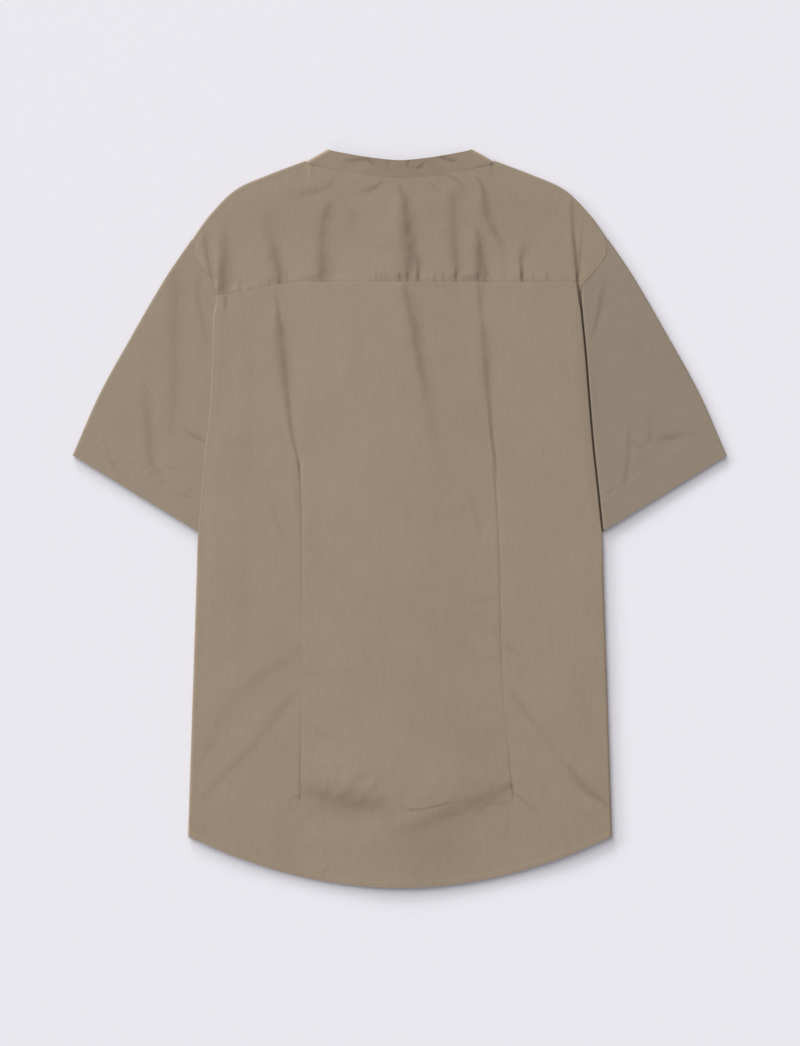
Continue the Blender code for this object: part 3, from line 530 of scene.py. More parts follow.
# %% Folds of the yoke
YOKE_FOLDS = (
    # down to the yoke seam, from left to right
    (
        (-212.5, 318, 2.5, 0.07), (-211, 300, 4.5, 0.16), (-208.5, 283, 3, 0.22),
        (-204.5, 262, 2, 0.22), (-201.5, 246, 1.2, 0.14),
    ),
    ((-196.5, 312, 2.5, 0), (-198.3, 285, 2.5, -0.10), (-199, 240, 2.5, -0.12)),
    (
        (-187, 340, 2.9, 0), (-188.5, 318, 5.2, 0.062), (-190, 298, 8.1, 0.123),
        (-191.5, 270, 10.4, 0.246), (-192, 243, 11.6, 0.277), (-191, 236, 8.6, 0.246),
    ),
    (
        (-148, 338, 7.5, 0), (-144, 318, 7.5, 0.06), (-140, 303, 7.5, 0.12), (-135, 284, 7.5, 0.18),
        (-131, 264, 7, 0.24), (-128, 250, 4.5, 0.20),
    ),
    (
        (-75, 346, 6, 0), (-77, 338, 7, 0.12), (-82, 322, 7.5, 0.14), (-83.5, 302, 9, 0.16),
        (-84.5, 280, 10, 0.20), (-84.5, 264, 8, 0.28), (-82.5, 252, 7, 0.24),
    ),
    ((-76, 278, 6, 0.06), (-74, 252, 6, 0.08)),
    ((-63, 346, 6, 0.03), (-52, 326, 7, 0.06), (-50, 310, 6, 0.02)),
    (
        (-1.5, 364, 2, 0.06), (1.5, 352, 4.5, 0.14), (5, 342, 7, 0.26), (7.5, 322, 8, 0.30),
        (8, 302, 10, 0.27), (10.5, 284, 11, 0.25), (10, 274, 11, 0.21), (8, 259, 9, 0.14),
    ),
    ((13, 292, 6, 0.08), (20, 276, 4, 0.16), (19.5, 260, 3, 0.16)),
    (
        (59, 360, 2.5, 0), (57.5, 345, 7, 0.17), (57, 326, 6, 0.12), (58, 305, 9, 0.15),
        (59.5, 284, 7.5, 0.18), (61, 270, 5, 0.22), (60, 257, 2.5, 0.16),
    ),
    (
        (82.5, 368.5, 1.2, 0.15), (88, 360, 2, 0.25), (91.5, 350, 5, 0.20), (92.5, 336, 7.5, 0.20),
        (95, 322, 6, 0.18), (101.5, 311, 5, 0.22), (107.5, 303, 4.5, 0.16), (112, 290, 4.5, 0.05),
        (113, 265, 4.5, 0.03),
    ),
    (
        (82.5, 314, 2.5, 0.1), (85.5, 301, 6, 0.24), (86, 286, 7.5, 0.28), (87, 270, 8, 0.32),
        (88, 258, 9, 0.26),
    ),
    ((91, 272, 2, 0.1), (95, 264, 1.5, 0.2), (99, 258, 1, 0.2)),
    (
        (134, 303, 4.5, 0), (133, 290, 6, 0.14), (130, 278, 2.5, 0.25), (131.5, 265, 2.5, 0.42),
        (131.5, 257, 2.5, 0.36),
    ),
    (
        (186, 348, 2.5, 0.06), (185.5, 334, 2.5, 0.18), (187, 305, 2.5, 0.32),
        (189.5, 280, 2.6, 0.45), (190.6, 268, 2.2, 0.45), (191.5, 256, 1.8, 0.4),
    ),
    ((197.5, 322, 2, 0.04), (195.5, 302, 1.5, 0.12), (194, 282, 1.5, 0.18), (193, 264, 1.5, 0.2)),
    # creases that the collar band throws
    (
        (-114, 348, 4.5, 0.05), (-100, 353, 4.5, 0.12), (-86, 355, 5, 0.12), (-75, 361, 2.5, 0.10),
        (-71, 367, 2, 0.04),
    ),
    ((-56, 359.5, 1, 0.06), (-47, 362.5, 1, 0.14), (-39, 364.5, 1, 0.06)),
    (
        (-50, 350, 4.5, 0.05), (-38, 354, 5, 0.10), (-27, 357.5, 2.5, 0.2), (-21.5, 362, 1.8, 0.20),
        (-20.5, 366, 1.2, 0),
    ),
    ((-109, 381, 4.5, 0.05), (-108, 368, 4.5, 0.06)),
    (
        (26, 369, 1.2, 0.08), (36, 371.5, 1.3, 0.16), (50, 370.5, 1.5, 0.18), (62, 366, 1.5, 0.22),
        (68, 358, 1.5, 0.18), (67.5, 351, 1.5, 0.06),
    ),
    ((28, 367, 1.5, 0.05), (36, 358, 2, 0.10), (44, 352, 2.5, 0.05)),
    ((-9, 368.5, 1, 0.04), (8, 368.8, 1, 0.10), (24, 369, 1, 0.10)),
    ((102, 373.5, 1.5, 0.10), (110, 373.5, 1.5, 0.06)),
    ((-38, 333, 1, 0.02), (-28, 333, 1, 0.06), (-18, 332.5, 1, 0.02)),
    ((-36, 327, 1, 0.02), (-27, 327, 1, 0.06), (-20, 326.5, 1, 0.02)),
    ((-34, 308.5, 1, 0.04), (-24, 308, 1, 0.08), (-12, 308.5, 1, 0.04)),
    ((-30, 304, 1, 0.03), (-18, 303.5, 1, 0.06)),
)
# Where the cloth is folded shut, no light gets in: only the shade of these strokes is used.
SHUT_FOLDS = (
    (
        (189.6, 282, 1.2, 0), (190.6, 268, 1.2, 0.15), (191.5, 256, 1.1, 0.7),
        (192.7, 248, 1.2, 1.5), (193.9, 240, 1.3, 1.5), (194.8, 230, 1.3, 0.4),
    ),
    ((207.5, 257, 0.8, 0.1), (202, 249, 0.8, 0.25), (196, 239, 0.8, 0.3)),
)
# Small puckers that the seam draws up in the yoke.
PUCKERS = (
    # x,  length, half width, steepness
    (-173, 13, 1.5, 0.28), (-163, 6, 1.3, 0.12), (-141, 8, 1.4, 0.18), (-131, 8, 1.4, 0.25),
    (-122, 10, 1.5, 0.25), (-116, 6, 1.2, 0.15), (-95, 5, 1.3, 0.10), (-64, 5, 1.3, 0.12),
    (-31, 8, 1.2, 0.16), (-25.5, 16, 1.2, 0.20), (-21, 10, 1.2, 0.28), (-16.5, 20, 1.3, 0.24),
    (-11.5, 8, 1.2, 0.16), (-0.5, 11, 1.6, 0.45), (8, 12, 1.7, 0.45), (19.5, 15, 2.0, 0.50),
    (28, 4, 1.2, 0.12), (37.5, 11, 1.8, 0.30), (46.5, 11, 1.6, 0.28), (54, 6, 1.2, 0.15),
    (60, 14, 2.0, 0.40), (68.5, 6, 1.2, 0.20), (73, 5, 1.2, 0.15), (84, 14, 2.0, 0.35),
    (92, 12, 1.8, 0.30), (113, 11, 1.6, 0.12), (125, 4, 1.2, 0.20), (131.5, 14, 2.0, 0.35),
    (138, 6, 1.2, 0.30), (144.5, 9, 1.2, 0.30), (159, 12, 1.8, 0.32), (170, 5, 1.3, 0.10),
)
print(len(YOKE_FOLDS), "folds and", len(PUCKERS), "puckers in the yoke")

# %% [markdown]
# ## Folds, painted shade and height of the back and yoke
# The two darts are seams, so each is a fine groove, with the cloth drawn in softly beside it.
# `body_folds` adds them to the folds. It also gives the painted shade: how much light the cloth
# around a place would take away from it. That is much where a fold is shut, and a little along the
# seams, under the collar and on the folded edges. Relief as low as this hardly shades itself, so
# the mesh keeps this painted shade and the finish darkens the cotton's colour by it.
# `body_z` is the height. The cloth lies highest over the placket's pile and over the rolled sides
# and sinks between, but never into the layer beneath.

# %% Puckers and darts
PUCKER_SHARE = 0.85             # how much of its steepness in the table each pucker gets
DART_GROOVE, DART_SHADE = 0.32 * MM, 0.25
DART_STEEP_WIDTH, DART_SLOW_WIDTH = 1.2 * MM, 5 * MM
DART_SHOW = (
    # y,     how deep each dart's groove is there: left, right
    (-0.305, 1.0, 1.0), (-0.270, 0.9, 0.9), (-0.225, 0.4, 0.1), (-0.180, 0.15, 0.4),
    (-0.130, 0.15, 0.7), (-0.060, 0.5, 0.8), (0.000, 0.8, 0.8), (0.050, 1.0, 0.9),
    (0.070, 0.0, 0.0),
)


def pucker_folds():
    """The puckers as strokes that stand on the yoke seam."""
    for x, length, width, steep in PUCKERS:
        foot = float(yoke_seam_y(x * MM)) / MM
        steep = PUCKER_SHARE * steep
        yield (
            (x - 0.5, foot + length, width * 0.6, 0), (x, foot + length / 3, width, steep),
            (x, foot, width, steep),
        )


def dart_depth(x, y, side):
    """A dart is a seam: a fine groove, steep on its left and slow on its right, and its shade."""
    off = x - side * dart_x(y, side)
    show = np.where(side < 0, read_curve(DART_SHOW, y, 1), read_curve(DART_SHOW, y, 2))
    show = show * (y > DART_FOOT_Y - 4 * MM) * (y < DART_TOP_Y)
    width = np.where(off < 0, DART_STEEP_WIDTH, DART_SLOW_WIDTH)
    line = np.exp(-2 * (off / DART_STEEP_WIDTH) ** 2)
    return show * DART_GROOVE * np.exp(-2 * (off / width) ** 2), DART_SHADE * show * line


YOKE_FOLDS += tuple(pucker_folds())
print(len(YOKE_FOLDS), "strokes in the yoke, with its puckers")

# %% Relief and painted shade of both panels
YOKE_FULLNESS, BACK_FULLNESS = 0.62, 0.60    # how much of the tables' steepness the cloth has
YOKE_CREST = 0.65               # the yoke's folds stand up more than they sink
UNEVENNESS = 0.3                # along a fold its height changes by this share
YOKE_FADE, BACK_FADE = 9 * MM, 6 * MM        # from the seam on, folds start over this length
RUN_ON = (182 * MM, 186 * MM)   # only the crease beside the right armhole runs over the seam
BACK_SHADE = 0.7                # share of the back's creases that shows as shade
SEAM_WIDTH, SEAM_SHADE = 1.2 * MM, 0.08
COLLAR_SHADE, TO_COLLAR_EDGE = 0.045, (0.270, 0.340)
RIM_SHADE, RIM = 0.10, (-2.4 * MM, -0.8 * MM)       # painted shade along the body's left edge, where low light would draw a bright rim
FOLD_SHADE, FOLD_WIDTH = 0.3, (0.4 * MM, 1.8 * MM)  # painted shade that keeps low light from drawing a bright rim on the folded edge
EDGE_TOP_Y = 0.24               # above this the body's left edge turns out to the shoulder


def past_left_edge(x, y):
    """How far a place is past the body's left edge, which lies on the sleeve."""
    return -x - side_x(np.minimum(y, EDGE_TOP_Y), -1)


def body_folds(x, y):
    """Relief and painted shade of back and yoke. The folds of both end at the seam between them."""
    above_seam = y - yoke_seam_y(x)
    side = np.where(x < 0, -1, 1)
    yoke, yoke_painted_shade = fold_relief(YOKE_FOLDS, x, y, crest=YOKE_CREST)
    back, back_painted_shade = fold_relief(BACK_FOLDS, x, y)
    free = ease(0, 5 * MM, shoulder_seam_x(y, side) - np.abs(x))
    groove, line = dart_depth(x, y, side)
    start = ease(0, np.where(above_seam > 0, YOKE_FADE, BACK_FADE), np.abs(above_seam))
    runs_on = ease(*RUN_ON, x)
    relief = np.where(
        above_seam > 0,
        YOKE_FULLNESS * yoke * mix(start, 1, runs_on) * free,
        BACK_FULLNESS * back * mix(start, 1, runs_on) - groove,
    )
    off_seam = mix(ease(0, 2 * MM, -above_seam), 1, runs_on)
    painted_shade = np.where(above_seam > 0, yoke_painted_shade, BACK_SHADE * back_painted_shade * off_seam + line)
    painted_shade = painted_shade + SEAM_SHADE * (1 - ease(0, SEAM_WIDTH, np.abs(above_seam)))
    painted_shade = painted_shade + fold_relief(SHUT_FOLDS, x, y)[1] + COLLAR_SHADE * ease(*TO_COLLAR_EDGE, y)
    rim = RIM_SHADE * ease(*RIM, past_left_edge(x, y))
    painted_shade = painted_shade + rim * ease(-0.02, 0.0, y) * (above_seam < 0)
    uneven = 1 + UNEVENNESS * ripple(x, y, 0.012, 9.5)
    return relief * uneven, painted_shade * uneven


def fold_shade(x, y):
    """Painted shade along the folded edge of shoulder and sleeve, where low light would draw a
    bright rim.
    """
    x = np.abs(x)
    inside = (shoulder_y(x) - y) * shoulder_out(x)[1]
    return FOLD_SHADE * (1 - ease(*FOLD_WIDTH, inside)) * (x > NECK_HALF)


print("crease on the yoke seam:", round(float(body_folds(-0.05, YOKE_SEAM_Y)[1]), 2))

# %% The height function
SEAM_GROOVE = 0.02 * MM         # where yoke and back meet
PUFF = 0.14 * MM                # unevenness of cloth that isn't pressed
EDGE_SLOPE = 0.35 * MM          # fall of the body's left edge, where it lies on the sleeve
SOFT_STOP = 0.5 * MM            # how softly the cloth comes to rest on the layer beneath
# The pile's height changes between these distances from the centre line,
OFF_PLACKET, TO_SIDE, TO_SLEEVE = (0.0, 0.115), (0.110, 0.200), (0.150, 0.205)
OFF_MARGIN = (0.028, 0.060)
# and between these places along the shirt.
TO_COLLAR, OVER_SEAM, OVER_CUFF = (0.280, 0.350), (0.235, 0.275), (-0.04, -0.01)


def body_z(x, y):
    """Middle of the wall of back and yoke."""
    across = np.abs(x)
    z = mix(FLAT_Z, SIDE_Z, np.maximum(ease(*TO_COLLAR, y), ease(*TO_SIDE, across)))
    z = mix(MIDDLE_Z, z, ease(*OFF_PLACKET, across))
    z = mix(z, SLEEVE_Z, ease(*TO_SLEEVE, across) * ease(*OVER_SEAM, y))
    slope = EDGE_SLOPE * ease(-8 * MM, -1 * MM, past_left_edge(x, y)) * ease(*OVER_CUFF, y)
    z = z - slope * ease(0.0, 0.012, EDGE_TOP_Y + 0.01 - y)
    seam = SEAM_GROOVE * (1 - ease(0, SEAM_WIDTH, np.abs(y - yoke_seam_y(x))))
    z = z + body_folds(x, y)[0] - seam
    z = z + PUFF * (ripple(x, y, 0.034, 1.5) + 0.5 * ripple(x, y, 0.013, 4.5))
    spare = z - mix(MARGIN_Z, FLOOR_Z, ease(*OFF_MARGIN, across)) - 2 * CLOTH
    return z + (np.hypot(spare, SOFT_STOP) - spare) / 2


print("over the placket:", round(float(body_z(0.0, 0.1)) / MM, 2), "mm up")

# %% [markdown]
# ## Weaving, dyeing and sewing: the finishes
# The cloth is a plain-weave cotton, piece-dyed taupe. Its threads are 0.4 mm apart, too fine to
# show, so the weave is drawn at 0.9 mm. What does show is slub: threads that are a little thick or
# thin for a few centimetres, mostly along the warp. That is noise stretched along the thread, used
# both as colour and as relief. Shade is painted into the colour as well: the tone darkens towards
# the right and the hem, as painted shade for the fall-off of real lamps, and deepens further where
# the mesh keeps painted shade, in folds, along seams and on edges. Cotton has no gloss, only a soft
# sheen. One helper adds a node with its settings and links.

# %% A helper for nodes


def add(tree, kind, inputs=(), **settings):
    """Adds a node, sets its properties, and sets or links its inputs."""
    made = tree.nodes.new(kind)
    for name, value in settings.items():
        setattr(made, name, value)
    for name, value in dict(inputs).items():
        if isinstance(value, bpy.types.NodeSocket):
            tree.links.new(value, made.inputs[name])
        else:
            made.inputs[name].default_value = value
    return made


def finish_of(name, colour, roughness, ior, sheen):
    """A new material and its shader, with what is the same all over set on the shader itself."""
    material = bpy.data.materials.new(name)
    material.use_nodes = True
    shader = material.node_tree.nodes["Principled BSDF"]
    shader.inputs["Base Color"].default_value = linear(colour)
    shader.inputs["Roughness"].default_value = roughness
    shader.inputs["IOR"].default_value = ior
    shader.inputs["Sheen Weight"].default_value = sheen
    shader.inputs["Sheen Roughness"].default_value = 0.6
    return material, shader


# %% Cotton
WEAVE_SPACING = 0.9 * MM        # real threads are 0.4 mm apart, too fine to show
SLUB_WIDTH, SLUB_LENGTH = 1.3 * MM, 16 * MM
CLOUD_SIZE = 70 * MM            # patches that took the dye a little better
CRUMPLE_SIZE, CRUMPLE_HEIGHT = 9 * MM, 0.10 * MM    # unpressed cloth between its folds
THREAD_HEIGHT = 0.05 * MM       # of a slub, and of the weave
PAINTED_SHADE_TONE = "#554532"         # painted shade darkens the cotton towards this colour in folds, seams and edges
FALLOFF_SHADE_RIGHT, FALLOFF_SHADE_TO_HEM = 0.6, 0.4    # painted shade for the fall-off of real lamps: how much of it each way brings
WAVES_A_UNIT = 20 / (2 * math.pi)       # bands of Blender's wave texture at scale 1


def woven_cotton(name, left, right, grain):
    """Plain-weave cotton whose warp runs at this angle from the shirt's length. left and right each
    hold a lighter and a darker thread tone; the colour goes from the left pair at the upper left to
    the right pair at the lower right, as painted shade for the fall-off of real lamps."""
    material, shader = finish_of(name, left[0], roughness=0.86, ior=1.53, sheen=0.12)
    tree = material.node_tree
    place = add(tree, "ShaderNodeTexCoord").outputs["Object"]
    warp = add(
        tree, "ShaderNodeMapping", {"Vector": place, "Rotation": (0, 0, grain)},
    ).outputs["Vector"]

    slubs = []
    for size in ((SLUB_WIDTH, SLUB_LENGTH), (SLUB_LENGTH * 0.6, SLUB_WIDTH)):
        along = add(tree, "ShaderNodeMapping", {
            "Vector": warp, "Scale": (1 / size[0], 1 / size[1], 1 / SLUB_LENGTH),
        }).outputs["Vector"]
        slubs.append(add(tree, "ShaderNodeTexNoise", {
            "Vector": along, "Scale": 1.0, "Detail": 3.0, "Roughness": 0.55,
        }).outputs["Fac"])
    slub = add(tree, "ShaderNodeMix", {0: 0.25, 2: slubs[0], 3: slubs[1]}).outputs[0]
    cloud = add(tree, "ShaderNodeTexNoise", {
        "Vector": place, "Scale": 1 / CLOUD_SIZE, "Detail": 2.0,
    }).outputs["Fac"]
    tone = add(tree, "ShaderNodeMix", {0: 0.30, 2: slub, 3: cloud}).outputs[0]
    share = add(tree, "ShaderNodeMapRange", {
        "Value": tone, "From Min": 0.34, "From Max": 0.66,
    }).outputs["Result"]
    tones = [
        add(tree, "ShaderNodeMix", {
            0: share, 6: linear(dark), 7: linear(light),
        }, data_type="RGBA").outputs[2]
        for light, dark in (left, right)
    ]
    # Painted shade: the colour darkens towards the right and the hem, standing in for the fall-off
    # of real lamps, which the suns don't have.
    axes = add(tree, "ShaderNodeSeparateXYZ", {"Vector": place}).outputs
    shade_right = add(tree, "ShaderNodeMapRange", {
        "Value": axes["X"], "From Min": -0.2, "From Max": 0.2, "To Max": FALLOFF_SHADE_RIGHT,
    }).outputs["Result"]
    shade_to_hem = add(tree, "ShaderNodeMapRange", {
        "Value": axes["Y"], "From Min": 0.0, "From Max": -0.4, "To Max": FALLOFF_SHADE_TO_HEM,
    }).outputs["Result"]
    painted_falloff = add(tree, "ShaderNodeMath", {0: shade_right, 1: shade_to_hem}, operation="ADD").outputs[0]
    slubs_with_painted_falloff = add(tree, "ShaderNodeMix", {
        0: painted_falloff, 6: tones[0], 7: tones[1],
    }, data_type="RGBA").outputs[2]
    # Painted shade: a float that the mesh keeps, made from the folds, darkens the cotton towards a
    # deep tone in folds, along seams, on edges and in the gap beside the right armhole.
    painted_shade = add(tree, "ShaderNodeAttribute", attribute_name="painted_shade").outputs["Fac"]
    with_painted_shade = add(tree, "ShaderNodeMix", {
        0: painted_shade, 6: slubs_with_painted_falloff, 7: linear(PAINTED_SHADE_TONE),
    }, data_type="RGBA").outputs[2]
    tree.links.new(with_painted_shade, shader.inputs["Base Color"])

    bands = [
        add(tree, "ShaderNodeTexWave", {
            "Vector": warp, "Scale": 1 / (WEAVE_SPACING * WAVES_A_UNIT), "Distortion": 0.4,
        }, bands_direction=direction).outputs["Fac"]
        for direction in ("X", "Y")
    ]
    weave = add(tree, "ShaderNodeMath", {0: bands[0], 1: bands[1]}, operation="MULTIPLY")
    crumple = add(tree, "ShaderNodeTexNoise", {
        "Vector": place, "Scale": 1 / CRUMPLE_SIZE, "Detail": 3.0, "Roughness": 0.5,
    }).outputs["Fac"]
    bumps = add(tree, "ShaderNodeBump", {
        "Height": crumple, "Strength": 1.0, "Distance": CRUMPLE_HEIGHT,
    }).outputs["Normal"]
    bumps = add(tree, "ShaderNodeBump", {
        "Height": slub, "Strength": 0.7, "Distance": THREAD_HEIGHT, "Normal": bumps,
    }).outputs["Normal"]
    bumps = add(tree, "ShaderNodeBump", {
        "Height": weave.outputs[0], "Strength": 0.2, "Distance": THREAD_HEIGHT, "Normal": bumps,
    }).outputs["Normal"]
    tree.links.new(bumps, shader.inputs["Normal"])
    return material


# Thread tones at the upper left and at the lower right; the lower right pair is darker as painted
# shade for the fall-off of real lamps.
COTTON_PAINTED_LIT_END, COTTON_PAINTED_SHADE_END = ("#9a8975", "#92816d"), ("#94836f", "#8c7b67")
# Painted shade: each sleeve's tones are set darker than the body's, the right sleeve's most.
SLEEVE_LEFT_PAINTED_SHADE, SLEEVE_RIGHT_PAINTED_SHADE = ("#978774", "#8f7f6b"), ("#908270", "#897a68")
SLEEVE_GRAIN = math.radians(29)         # a sleeve's warp runs along its outer fold
cotton = woven_cotton("plain_weave_cotton", COTTON_PAINTED_LIT_END, COTTON_PAINTED_SHADE_END, 0.0)
shaded_sleeve_cotton = {
    -1: woven_cotton("plain_weave_cotton_left_painted_shade", SLEEVE_LEFT_PAINTED_SHADE, SLEEVE_LEFT_PAINTED_SHADE, -SLEEVE_GRAIN),
    1: woven_cotton("plain_weave_cotton_right_painted_shade", SLEEVE_RIGHT_PAINTED_SHADE, SLEEVE_RIGHT_PAINTED_SHADE, SLEEVE_GRAIN),
}
print("cottons:", [m.name for m in bpy.data.materials if "cotton" in m.name])

# %% Sewing thread and button resin
TWIST_SPACING, TWIST_HEIGHT = 0.5 * MM, 0.04 * MM
SWIRL_SIZE = 4 * MM


def spun_thread(name, colour):
    """Core-spun polyester: a fine twist, and a little more gloss than the cotton."""
    material, shader = finish_of(name, colour, roughness=0.6, ior=1.58, sheen=0.05)
    tree = material.node_tree
    place = add(tree, "ShaderNodeTexCoord").outputs["Object"]
    twist = add(tree, "ShaderNodeTexWave", {
        "Vector": place, "Scale": 1 / (TWIST_SPACING * WAVES_A_UNIT), "Distortion": 1.0,
    }, bands_direction="DIAGONAL").outputs["Fac"]
    bump = add(tree, "ShaderNodeBump", {"Height": twist, "Strength": 0.5, "Distance": TWIST_HEIGHT})
    tree.links.new(bump.outputs["Normal"], shader.inputs["Normal"])
    return material


def cast_resin(name, light, dark):
    """Polyester resin, cast with a smoky swirl and tumbled smooth."""
    material, shader = finish_of(name, light, roughness=0.28, ior=1.55, sheen=0.0)
    tree = material.node_tree
    place = add(tree, "ShaderNodeTexCoord").outputs["Object"]
    swirl = add(tree, "ShaderNodeTexNoise", {
        "Vector": place, "Scale": 1 / SWIRL_SIZE, "Detail": 3.0, "Distortion": 1.5,
    }).outputs["Fac"]
    colour = add(tree, "ShaderNodeMix", {
        0: swirl, 6: linear(dark), 7: linear(light),
    }, data_type="RGBA").outputs[2]
    tree.links.new(colour, shader.inputs["Base Color"])
    return material


thread = spun_thread("core_spun_thread", "#958672")
resin = cast_resin("cast_polyester_resin", "#6e5a48", "#4c3b2e")
print("thread and resin are ready")

# %% [markdown]
# ## From a flat grid to a panel
# A pattern piece is flat before it is sewn, so each panel starts as a flat grid. A `place` function
# then says where each column and row of the grid lies on the shirt, and Solidify gives the cloth
# its thickness. Rows and columns stand closer where a seam, a hem or a sharp fold needs them.

# %% Columns and rows of a grid


def spread(*stops):
    """Numbers from stop to stop: spread(0, (20, 1)) is 0 to 1 in 20 steps."""
    numbers = [float(stops[0])]
    for count, end in stops[1:]:
        start = numbers[-1]
        numbers += [mix(start, end, (i + 1) / count) for i in range(count)]
    return numbers


def both_ways(*stops):
    """spread from 0, and the same below 0, so that left and right get the same columns."""
    half = spread(0, *stops)
    return [-number for number in reversed(half[1:])] + half


print("columns on both sides:", both_ways((2, 1.0)))

# %% From a grid to cloth
MERGE = 0.001 * MM              # points closer than this are one


def finished_piece(name, bm, finish):
    """The bmesh as a smooth piece of the shirt, which moves with its one body."""
    for face in bm.faces:
        face.smooth = True
    mesh = bpy.data.meshes.new(name)
    bm.to_mesh(mesh)
    bm.free()
    mesh.materials.append(finish)
    piece = bpy.data.objects.new(name, mesh)
    bpy.context.scene.collection.objects.link(piece)
    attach(piece, "root")
    return piece


def panel(name, columns, rows, place, finish, wall=CLOTH, painted_shade=None, leave_out=None, ring=False):
    """A grid warped by place(columns, rows), which returns x, y and z, then made cloth.
    The shade function, called with x, y and z, gives the painted shade that the mesh keeps for the
    finish. leave_out(columns, rows) says where there is no cloth, and the first and last columns of
    a ring meet."""
    bm = bmesh.new()
    bmesh.ops.create_grid(bm, x_segments=len(columns) - 1, y_segments=len(rows) - 1, size=0.5)
    c, r = (axis.ravel() for axis in np.meshgrid(columns, rows))
    grid = np.stack(place(c, r))
    for vert, spot in zip(bm.verts, grid.T):
        vert.co = spot
    if leave_out is not None:
        out = leave_out(c, r)
        bm.verts.ensure_lookup_table()
        gone = [f for f in bm.faces if all(out[v.index] for v in f.verts)]
        bmesh.ops.delete(bm, geom=gone, context="FACES")
    if ring:
        bmesh.ops.remove_doubles(bm, verts=bm.verts, dist=MERGE)
    bmesh.ops.recalc_face_normals(bm, faces=bm.faces)
    for edge in bm.edges:
        edge.smooth = not edge.is_boundary      # a cut edge of cloth is crisp
    piece = finished_piece(name, bm, finish)
    mesh = piece.data
    if painted_shade is not None:
        # the painted shade of each point, kept for the finish to darken the cotton by
        spots = np.empty(len(mesh.vertices) * 3)
        mesh.vertices.foreach_get("co", spots)
        kept = mesh.attributes.new("painted_shade", "FLOAT", "POINT")
        kept.data.foreach_set("value", painted_shade(*spots.reshape(-1, 3).T).astype(np.float32))
    thick = piece.modifiers.new("cloth", "SOLIDIFY")
    thick.thickness = wall
    thick.offset = 0
    grid = grid.reshape(3, len(rows), len(columns))
    row = np.linalg.norm(np.diff(grid, axis=2), axis=0).sum(axis=1).max()
    column = np.linalg.norm(np.diff(grid, axis=1), axis=0).sum(axis=0).max()
    longest = [round(float(run) / MM, 1) for run in (row, column)]
    print(name, "has", len(mesh.polygons), "faces; its longest row and column in mm:", longest)
    return piece


print("each panel gets a wall of", CLOTH / MM, "mm")

# %% [markdown]
# ## The back
# One panel from the yoke seam to the curved hem. Its sides roll under, down to the side seams, and
# over the sleeves higher up. Columns past 1 and rows past 1 are the parts that don't lie in the
# open: the rolled edges, and the seam allowance that goes up under the yoke. The hem is turned up
# twice, so its last 5 mm are a little thicker, and the sewing makes it ripple.

# %% Rolled edges and hems
ROLL_END = 1.70                 # columns from 1 to here go round the edge, and the rest run flat
SQUARE = 0.72                   # 1 is a round edge; less is one that its own weight presses square
SHORT_RUN = 0.004               # a flat part shorter than this takes fewer of the columns
SEAM_ALLOWANCE = 5 * MM
HEM_STEP, HEM_RIPPLE = 0.12 * MM, 0.05 * MM
RIPPLE_LENGTH = 0.011


def bend_round(turn):
    """Sine and cosine of a folded edge, which is squarer than a circle."""
    sine, cosine = np.sin(turn), np.cos(turn)
    return np.abs(sine) ** SQUARE, np.sign(cosine) * np.abs(cosine) ** SQUARE


def rolled(c, start, top_z, radius, turn, seam):
    """Points of the body's rolled edge: start is where it turns, seam is where it ends beneath."""
    straight = np.maximum(0.0, start + radius * np.sin(turn) - seam)
    turn_share = mix(1.0, ROLL_END - 1, np.minimum(1.0, straight / SHORT_RUN))
    t = np.clip((c - 1) / turn_share, 0, 1)
    beyond = np.maximum(0, c - 1 - turn_share) / np.maximum(1 - turn_share, 1e-6)
    sine, cosine = np.sin(turn * t), np.cos(turn * t)
    square = bend_round(turn * t)
    whole = ease(2.8, math.pi, turn)        # only an edge that goes right round is pressed
    sine, cosine = mix(sine, square[0], whole), mix(cosine, square[1], whole)
    return start + radius * sine - straight * beyond, top_z - radius * (1 - cosine)


def hem_relief(x, from_edge, depth):
    """Extra height of a turned-up hem, with the faint slanting ripples that sewing leaves."""
    slant = x + 0.8 * from_edge + 6 * MM * ripple(x, from_edge, 0.03, 7.5)
    ripples = HEM_RIPPLE * np.sin(slant * 2 * math.pi / RIPPLE_LENGTH)
    height = HEM_STEP + ripples * ease(0, depth, from_edge)
    return height * (1 - ease(depth * 0.94, depth * 1.12, from_edge))


print("a hem stands", HEM_STEP / MM, "mm up from the cloth")

# %% Where each point of the back lies


